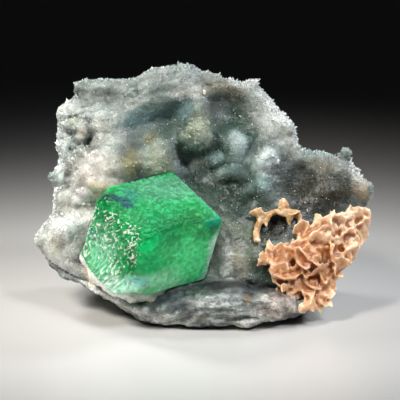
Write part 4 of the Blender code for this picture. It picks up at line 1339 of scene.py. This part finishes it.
def make_fluorite(sizes):
    """The green crystal: a worn block with a different etched relief on each face."""
    axes = unit(np.array([direction for direction, _ in CRYSTAL_EDGES.values()]))
    lengths = np.array([length for _, length in CRYSTAL_EDGES.values()])
    lattice, quads = crystal_lattice(np.round(lengths * MM / sizes.crystal_step).astype(int))
    along = lattice / lattice.max(axis=0) * lengths
    points, outward = worn_block(along, lengths, axes)
    rises, white, tone = etched_relief(along, points)
    # Each place takes most of its relief from the face that it looks along, ragged at the edges
    shares = np.abs(outward + 0.35 * noise_drift(points, 1.6, (56, 57, 58))) ** 3
    shares /= np.maximum(shares.sum(axis=1), 1e-9)[:, None]
    moved = points + outward @ axes * np.sum(rises * shares, axis=1)[:, None]
    moved = cut_corners(moved, points, lengths, axes)
    moved[:, 2] = np.maximum(moved[:, 2], CRYSTAL_BACK_W)
    moved[:, :2] += np.outer(patch_share(moved, *CRYSTAL_BELLY), BELLY_SHIFT)
    mesh = mesh_from("fluorite_crystal_etched", to_world(moved), quads)
    on_left, on_top = shares[:, 1] * (outward[:, 1] < 0.0), shares[:, 2] * (outward[:, 2] < 0.0)
    store_frost(mesh, np.clip(0.35 + 0.65 * on_top - 0.35 * on_left, 0.0, 1.0))
    paint = painted(moved, FLUORITE_BASE, FLUORITE_PATCHES, 1.2)
    # Painted light and shade on the etched relief, and a mint haze on its ridges that is partly frost
    # and partly painted light
    etched = np.sum(tone * shares, axis=1)
    paint *= np.exp(0.3 * np.clip(etched, -1.2, 1.2))[:, None]
    paint = tinted(paint, linear(ETCH_HAZE), 0.02 + 0.07 * np.clip(etched, 0.0, 1.0))
    # The left face's ridges whitened: partly frost and partly painted glints
    paint = tinted(paint, linear(FROST_AND_GLINT_WHITE), white * smooth_step(0.45, 0.85, on_left))
    store_paint(mesh, paint)
    mesh.shade_smooth()
    add_piece("fluorite_crystal_etched", mesh, fluorite_material(), ["fluorite_crystal"])


def blade_faces(segments, rings):
    """The triangles of one blade: two round sheets, a band between their rims, and two middles."""
    count, last = rings * segments, (rings - 1) * segments
    quads = []
    for spoke in range(segments):
        after = (spoke + 1) % segments
        for ring in range(rings - 1):
            near, far = ring * segments, (ring + 1) * segments
            front = (near + spoke, far + spoke, far + after, near + after)
            quads.append(front)
            quads.append(tuple(count + at for at in reversed(front)))
        quads.append((last + spoke, count + last + spoke, count + last + after, last + after))
    triangles = [(2 * count, spoke, (spoke + 1) % segments) for spoke in range(segments)]
    triangles += [
        (2 * count + 1, count + (spoke + 1) % segments, count + spoke) for spoke in range(segments)
    ]
    return triangles + [(a, b, c) for a, b, c, _ in quads] + [(a, c, d) for a, _, c, d in quads]


def blade_mesh(place, thickness, segments, rings, chooser):
    """One blade: a bent plate with a ragged rim, as its face points and its triangles."""
    u, v, w, half_length, half_width, turn, lean = place
    angles = np.arange(segments) * math.tau / segments
    # The rim runs in and out in 2, 3 and 7 broad waves, and a little from cell to cell
    phase = chooser.uniform(0.0, math.tau, 4)
    outline = 1.0 + 0.10 * np.sin(2 * angles + phase[0]) + 0.12 * np.sin(3 * angles + phase[1])
    outline += 0.08 * np.sin(7 * angles + phase[2]) + chooser.uniform(-0.06, 0.06, segments)
    # The plate is bent to one side and twisted, ripples towards its rim and thins out there
    shares = np.linspace(0.0, 1.0, rings + 1)[1:]
    bend, twist = chooser.uniform(0.3, 0.8) * chooser.choice([-1.0, 1.0]), chooser.uniform(-0.5, 0.5)
    ripple = chooser.uniform(0.05, 0.11)
    x = np.outer(shares, np.cos(angles) * outline) * half_length
    y = np.outer(shares, np.sin(angles) * outline) * half_width
    curve = bend * (x**2 + y**2) / (2.0 * half_length) + twist * x * y / half_length
    curve += ripple * half_length * np.outer(shares**2, np.sin(5 * angles + phase[3]))
    half_thick = thickness / 2.0 * (0.35 + 0.65 * (1.0 - shares**2))[:, None]
    sheets = [np.stack([x, y, curve + side * half_thick], axis=2).reshape(-1, 3) for side in (1, -1)]
    middles = np.array([[0.0, 0.0, thickness / 2.0], [0.0, 0.0, -thickness / 2.0]])
    turned = Matrix.Rotation(math.radians(-turn), 3, "Y")
    leaned = Matrix.Rotation(math.radians(lean), 3, "X")
    facing = Matrix.Rotation(math.radians(90.0), 3, "X")
    placed = np.concatenate([*sheets, middles]) @ np.array(turned @ leaned @ facing).T
    return face_from_upright(placed + np.array([u, -w, v])), np.array(blade_faces(segments, rings))


def scattered_spots(outline, centre, count, spacing, chooser):
    """Places inside an outline that keep their distance from each other."""
    spokes = sorted(
        (math.atan2(v - centre[1], u - centre[0]), math.hypot(u - centre[0], v - centre[1]))
        for u, v in outline
    )
    spots = []
    for _ in range(count * TRIES_PER_SPOT):
        angle = chooser.uniform(-math.pi, math.pi)
        reach = np.interp(angle, [s[0] for s in spokes], [s[1] for s in spokes], period=math.tau)
        length = float(reach) * math.sqrt(chooser.random())
        spot = (centre[0] + math.cos(angle) * length, centre[1] + math.sin(angle) * length)
        if all(math.dist(spot, other) > spacing for other in spots):
            spots.append(spot)
        if len(spots) == count:
            break
    return spots


def loose_blades(sizes):
    """Every blade of the mass and of the ring, with the solid's bed, as one mesh of loose parts."""
    chooser = np.random.default_rng(23)
    height = stone_height(tree_of("quartz_druse", "host_rock"))
    bed = solid_of("peach_blades")
    parts = [(to_face(corners_of(bed)), triangles_of(bed))]
    thickness = sizes.blade_thickness / MM
    for u, v, lift, *shape in [*CHOSEN_BLADES.values(), *RING_BLADES.values()]:
        place = (u, v, height(u, v) + lift + BLADE_LIFT, *shape)
        parts.append(blade_mesh(place, thickness, *LARGE_BLADE_CELLS, chooser))
    spots = scattered_spots(MAIN_BED, MAIN_CENTRE, sizes.small_blades, SPOT_SPACING, chooser)
    flat = np.array([(u, v, 0.0) for u, v in spots])
    turns, leans = (
        middle + drift * smooth_noise(flat, size, seed) + chooser.uniform(-scatter, scatter, len(flat))
        for middle, drift, size, seed, scatter in (SMALL_TURNS, SMALL_LEANS)
    )
    for (u, v), turn, lean in zip(spots, turns, leans):
        half_length = chooser.uniform(*SMALL_HALF_LENGTHS)
        lift = chooser.uniform(*SMALL_LIFTS)
        half_width = half_length * chooser.uniform(*SMALL_WIDTHS)
        place = (u, v, height(u, v) + lift, half_length, half_width, turn, lean)
        parts.append(blade_mesh(place, SMALL_THICKNESS * thickness, *SMALL_BLADE_CELLS, chooser))
    starts = np.cumsum([0] + [len(points) for points, _ in parts[:-1]])
    corners = np.concatenate([points for points, _ in parts])
    faces = np.concatenate([part[1] + start for part, start in zip(parts, starts)])
    return mesh_from("loose_blades", to_world(corners), faces)


def blade_paint(mesh, face, colours):
    """Pale rims, partly painted highlight, painted shade between the blades, and the duller ring.

    How far a place stands out is counted in standard deviations, over small and large reaches.
    The ring is painted lighter where it stands out and darker in its hollows.
    """
    fine, broad, deep = (standing_out(mesh, rounds) for rounds in (8, 50, 200))
    fine, broad, deep = fine / fine.std(), broad / broad.std(), deep / deep.std()
    # Painted highlight where the blades stand out, and paler towards the top right
    rim = 0.15 * smooth_step(0.6, 2.4, fine) + 0.6 * smooth_step(0.0, 2.4, broad)
    rim += 0.35 * patch_share(face, *PALE_BLADES)
    # Painted shade in the hollows between the blades, deeper and more orange, and towards the lower
    # left
    root = 0.8 * smooth_step(0.1, -1.6, broad) + 0.5 * smooth_step(0.2, -1.6, deep)
    root += 0.45 * patch_share(face, *DEEP_BLADES)
    ring = patch_share(face, *RING_PLACE)
    paint = np.tile(colours.peach, (len(face), 1))
    for tint, share in ((colours.peach_rim, rim), (colours.peach_root_shade, root), (colours.ring, ring)):
        paint = tinted(paint, tint, np.clip(share, 0.0, 0.9))
    # Painted light where the ring stands out and painted shade in its hollows
    return paint * np.exp(0.3 * ring * np.clip(broad, -1.5, 1.0))[:, None]


def make_peach_blades(sizes, colours):
    """The peach mass and its open ring: blades that have grown into one another."""
    mesh = loose_blades(sizes)
    for coarser, relaxing, swelling in BLADE_SKINS:
        mesh = fine_skin(mesh, coarser * sizes.blade_step, relaxing)
        swell(mesh, swelling)
    mesh = fine_skin(mesh, sizes.blade_step, 1)
    mesh.name = "peach_blade_mass"
    face = to_face(corners_of(mesh))
    swell(mesh, mixed_noise(face, BLADE_GRAIN))
    store_paint(mesh, blade_paint(mesh, face, colours))
    mesh.shade_smooth()
    add_piece("peach_blade_mass", mesh, blade_material(), ["peach_blades"])


def make_lone_crystal(colours):
    """The one small cream blade high on the druse."""
    mesh = fine_skin(solid_of("lone_peach_crystal"), LONE_STEP * MM, 1)
    store_paint(mesh, np.tile(colours.peach_rim, (len(mesh.vertices), 1)))
    mesh.shade_smooth()
    material = bpy.data.materials["pearly_carbonate_blades"]
    add_piece("lone_cream_blade", mesh, material, ["lone_peach_crystal"])


def add_lamp(name, place, target, size, power, colour, beam):
    """A round soft lamp that aims at its target."""
    data = bpy.data.lights.new(name, "AREA")
    data.shape = "DISK"
    data.size = size
    data.energy = power
    data.color = linear(colour)
    data.spread = beam
    lamp = bpy.data.objects.new(name, data)
    bpy.context.scene.collection.objects.link(lamp)
    lamp.location = place
    lamp.rotation_euler = (Vector(target) - Vector(place)).to_track_quat("-Z", "Y").to_euler()


def add_camera(settings):
    """The camera, square to the leaning face."""
    data = bpy.data.cameras.new("camera")
    data.sensor_width = SENSOR_WIDTH
    data.lens = SENSOR_WIDTH * settings.camera_distance / settings.view_width
    data.clip_start = 0.05
    camera = bpy.data.objects.new("camera", data)
    bpy.context.scene.collection.objects.link(camera)
    back = Vector((0.0, -math.cos(FACE_LEAN), math.sin(FACE_LEAN)))
    camera.location = world_spot(CAMERA_TARGET) + back * settings.camera_distance
    camera.rotation_euler = (-back).to_track_quat("-Z", "Y").to_euler()
    bpy.context.scene.camera = camera


def make_stage(settings, colours):
    """A pale floor, soft lamps with grids whose light ends behind the specimen, and the camera."""
    scene = bpy.context.scene
    bm = bmesh.new()
    bmesh.ops.create_grid(bm, x_segments=8, y_segments=8, size=FLOOR_HALF)
    mesh = mesh_of(bm, "floor")
    mesh.materials.append(floor_material(colours))
    floor = bpy.data.objects.new("floor", mesh)
    scene.collection.objects.link(floor)
    for name, (place, target, size, power, colour) in LAMPS.items():
        add_lamp(name, place, target, size, getattr(settings, power), colour, settings.beam)
    world = bpy.data.worlds.new("studio_air")
    world.use_nodes = True
    air = world.node_tree.nodes["Background"].inputs
    air["Color"].default_value = (*linear(AIR_COLOUR), 1.0)
    air["Strength"].default_value = AIR_STRENGTH
    scene.world = world
    add_camera(settings)
    scene.view_settings.view_transform = "Standard"


class SPECIMEN_OT_stage(bpy.types.Operator):
    """Make the floor, the lamps and the camera"""

    bl_idname = "specimen.stage"
    bl_label = "Stage"

    def execute(self, context):
        make_stage(context.scene.studio_settings, context.scene.specimen_colours)
        return {"FINISHED"}


class SPECIMEN_OT_host_rock(bpy.types.Operator):
    """Make the split host rock"""

    bl_idname = "specimen.host_rock"
    bl_label = "Host rock"

    def execute(self, context):
        make_rock(context.scene.specimen_sizes)
        return {"FINISHED"}


class SPECIMEN_OT_quartz_crust(bpy.types.Operator):
    """Make the quartz crust under the points"""

    bl_idname = "specimen.quartz_crust"
    bl_label = "Quartz crust"

    def execute(self, context):
        make_quartz_body(context.scene.specimen_sizes)
        return {"FINISHED"}


class SPECIMEN_OT_quartz_points(bpy.types.Operator):
    """Cover the crust with small quartz points"""

    bl_idname = "specimen.quartz_points"
    bl_label = "Quartz points"

    def execute(self, context):
        make_quartz_points(context.scene.specimen_sizes)
        return {"FINISHED"}


class SPECIMEN_OT_foot_rim(bpy.types.Operator):
    """Make the quartz lip under the crystal"""

    bl_idname = "specimen.foot_rim"
    bl_label = "Crystal foot rim"

    def execute(self, context):
        make_foot_rim()
        return {"FINISHED"}


class SPECIMEN_OT_fluorite(bpy.types.Operator):
    """Make the etched green crystal"""

    bl_idname = "specimen.fluorite"
    bl_label = "Fluorite crystal"

    def execute(self, context):
        make_fluorite(context.scene.specimen_sizes)
        return {"FINISHED"}


class SPECIMEN_OT_peach_blades(bpy.types.Operator):
    """Make the peach blades and their ring"""

    bl_idname = "specimen.peach_blades"
    bl_label = "Peach blades"

    def execute(self, context):
        make_peach_blades(context.scene.specimen_sizes, context.scene.specimen_colours)
        return {"FINISHED"}


class SPECIMEN_OT_lone_blade(bpy.types.Operator):
    """Make the single cream blade"""

    bl_idname = "specimen.lone_blade"
    bl_label = "Lone blade"

    def execute(self, context):
        make_lone_crystal(context.scene.specimen_colours)
        return {"FINISHED"}


class SPECIMEN_PT_panel(bpy.types.Panel):
    """Lists the specimen's sizes, colours and pieces"""

    bl_idname = "SPECIMEN_PT_panel"
    bl_label = "Specimen"
    bl_space_type = "VIEW_3D"
    bl_region_type = "UI"
    bl_category = "Specimen"

    def draw(self, context):
        for group in ("specimen_sizes", "specimen_colours", "studio_settings"):
            settings = getattr(context.scene, group)
            for name in settings.__annotations__:
                self.layout.prop(settings, name)
        for operator in OPERATORS:
            self.layout.operator(operator.bl_idname)


GROUPS = {
    "specimen_sizes": SpecimenSizes,
    "specimen_colours": SpecimenColours,
    "studio_settings": StudioSettings,
}
OPERATORS = (
    SPECIMEN_OT_stage,
    SPECIMEN_OT_host_rock,
    SPECIMEN_OT_quartz_crust,
    SPECIMEN_OT_quartz_points,
    SPECIMEN_OT_foot_rim,
    SPECIMEN_OT_fluorite,
    SPECIMEN_OT_peach_blades,
    SPECIMEN_OT_lone_blade,
)


def register():
    for kind in (*GROUPS.values(), *OPERATORS, SPECIMEN_PT_panel):
        bpy.utils.register_class(kind)
    for name, kind in GROUPS.items():
        setattr(bpy.types.Scene, name, PointerProperty(type=kind))


def unregister():
    for name in GROUPS:
        delattr(bpy.types.Scene, name)
    for kind in reversed((*GROUPS.values(), *OPERATORS, SPECIMEN_PT_panel)):
        bpy.utils.unregister_class(kind)


def main():
    register()
    bpy.ops.specimen.stage()
    bpy.ops.specimen.host_rock()
    bpy.ops.specimen.quartz_crust()
    bpy.ops.specimen.quartz_points()
    bpy.ops.specimen.foot_rim()
    bpy.ops.specimen.fluorite()
    bpy.ops.specimen.peach_blades()
    bpy.ops.specimen.lone_blade()


if __name__ == "__main__":
    main()
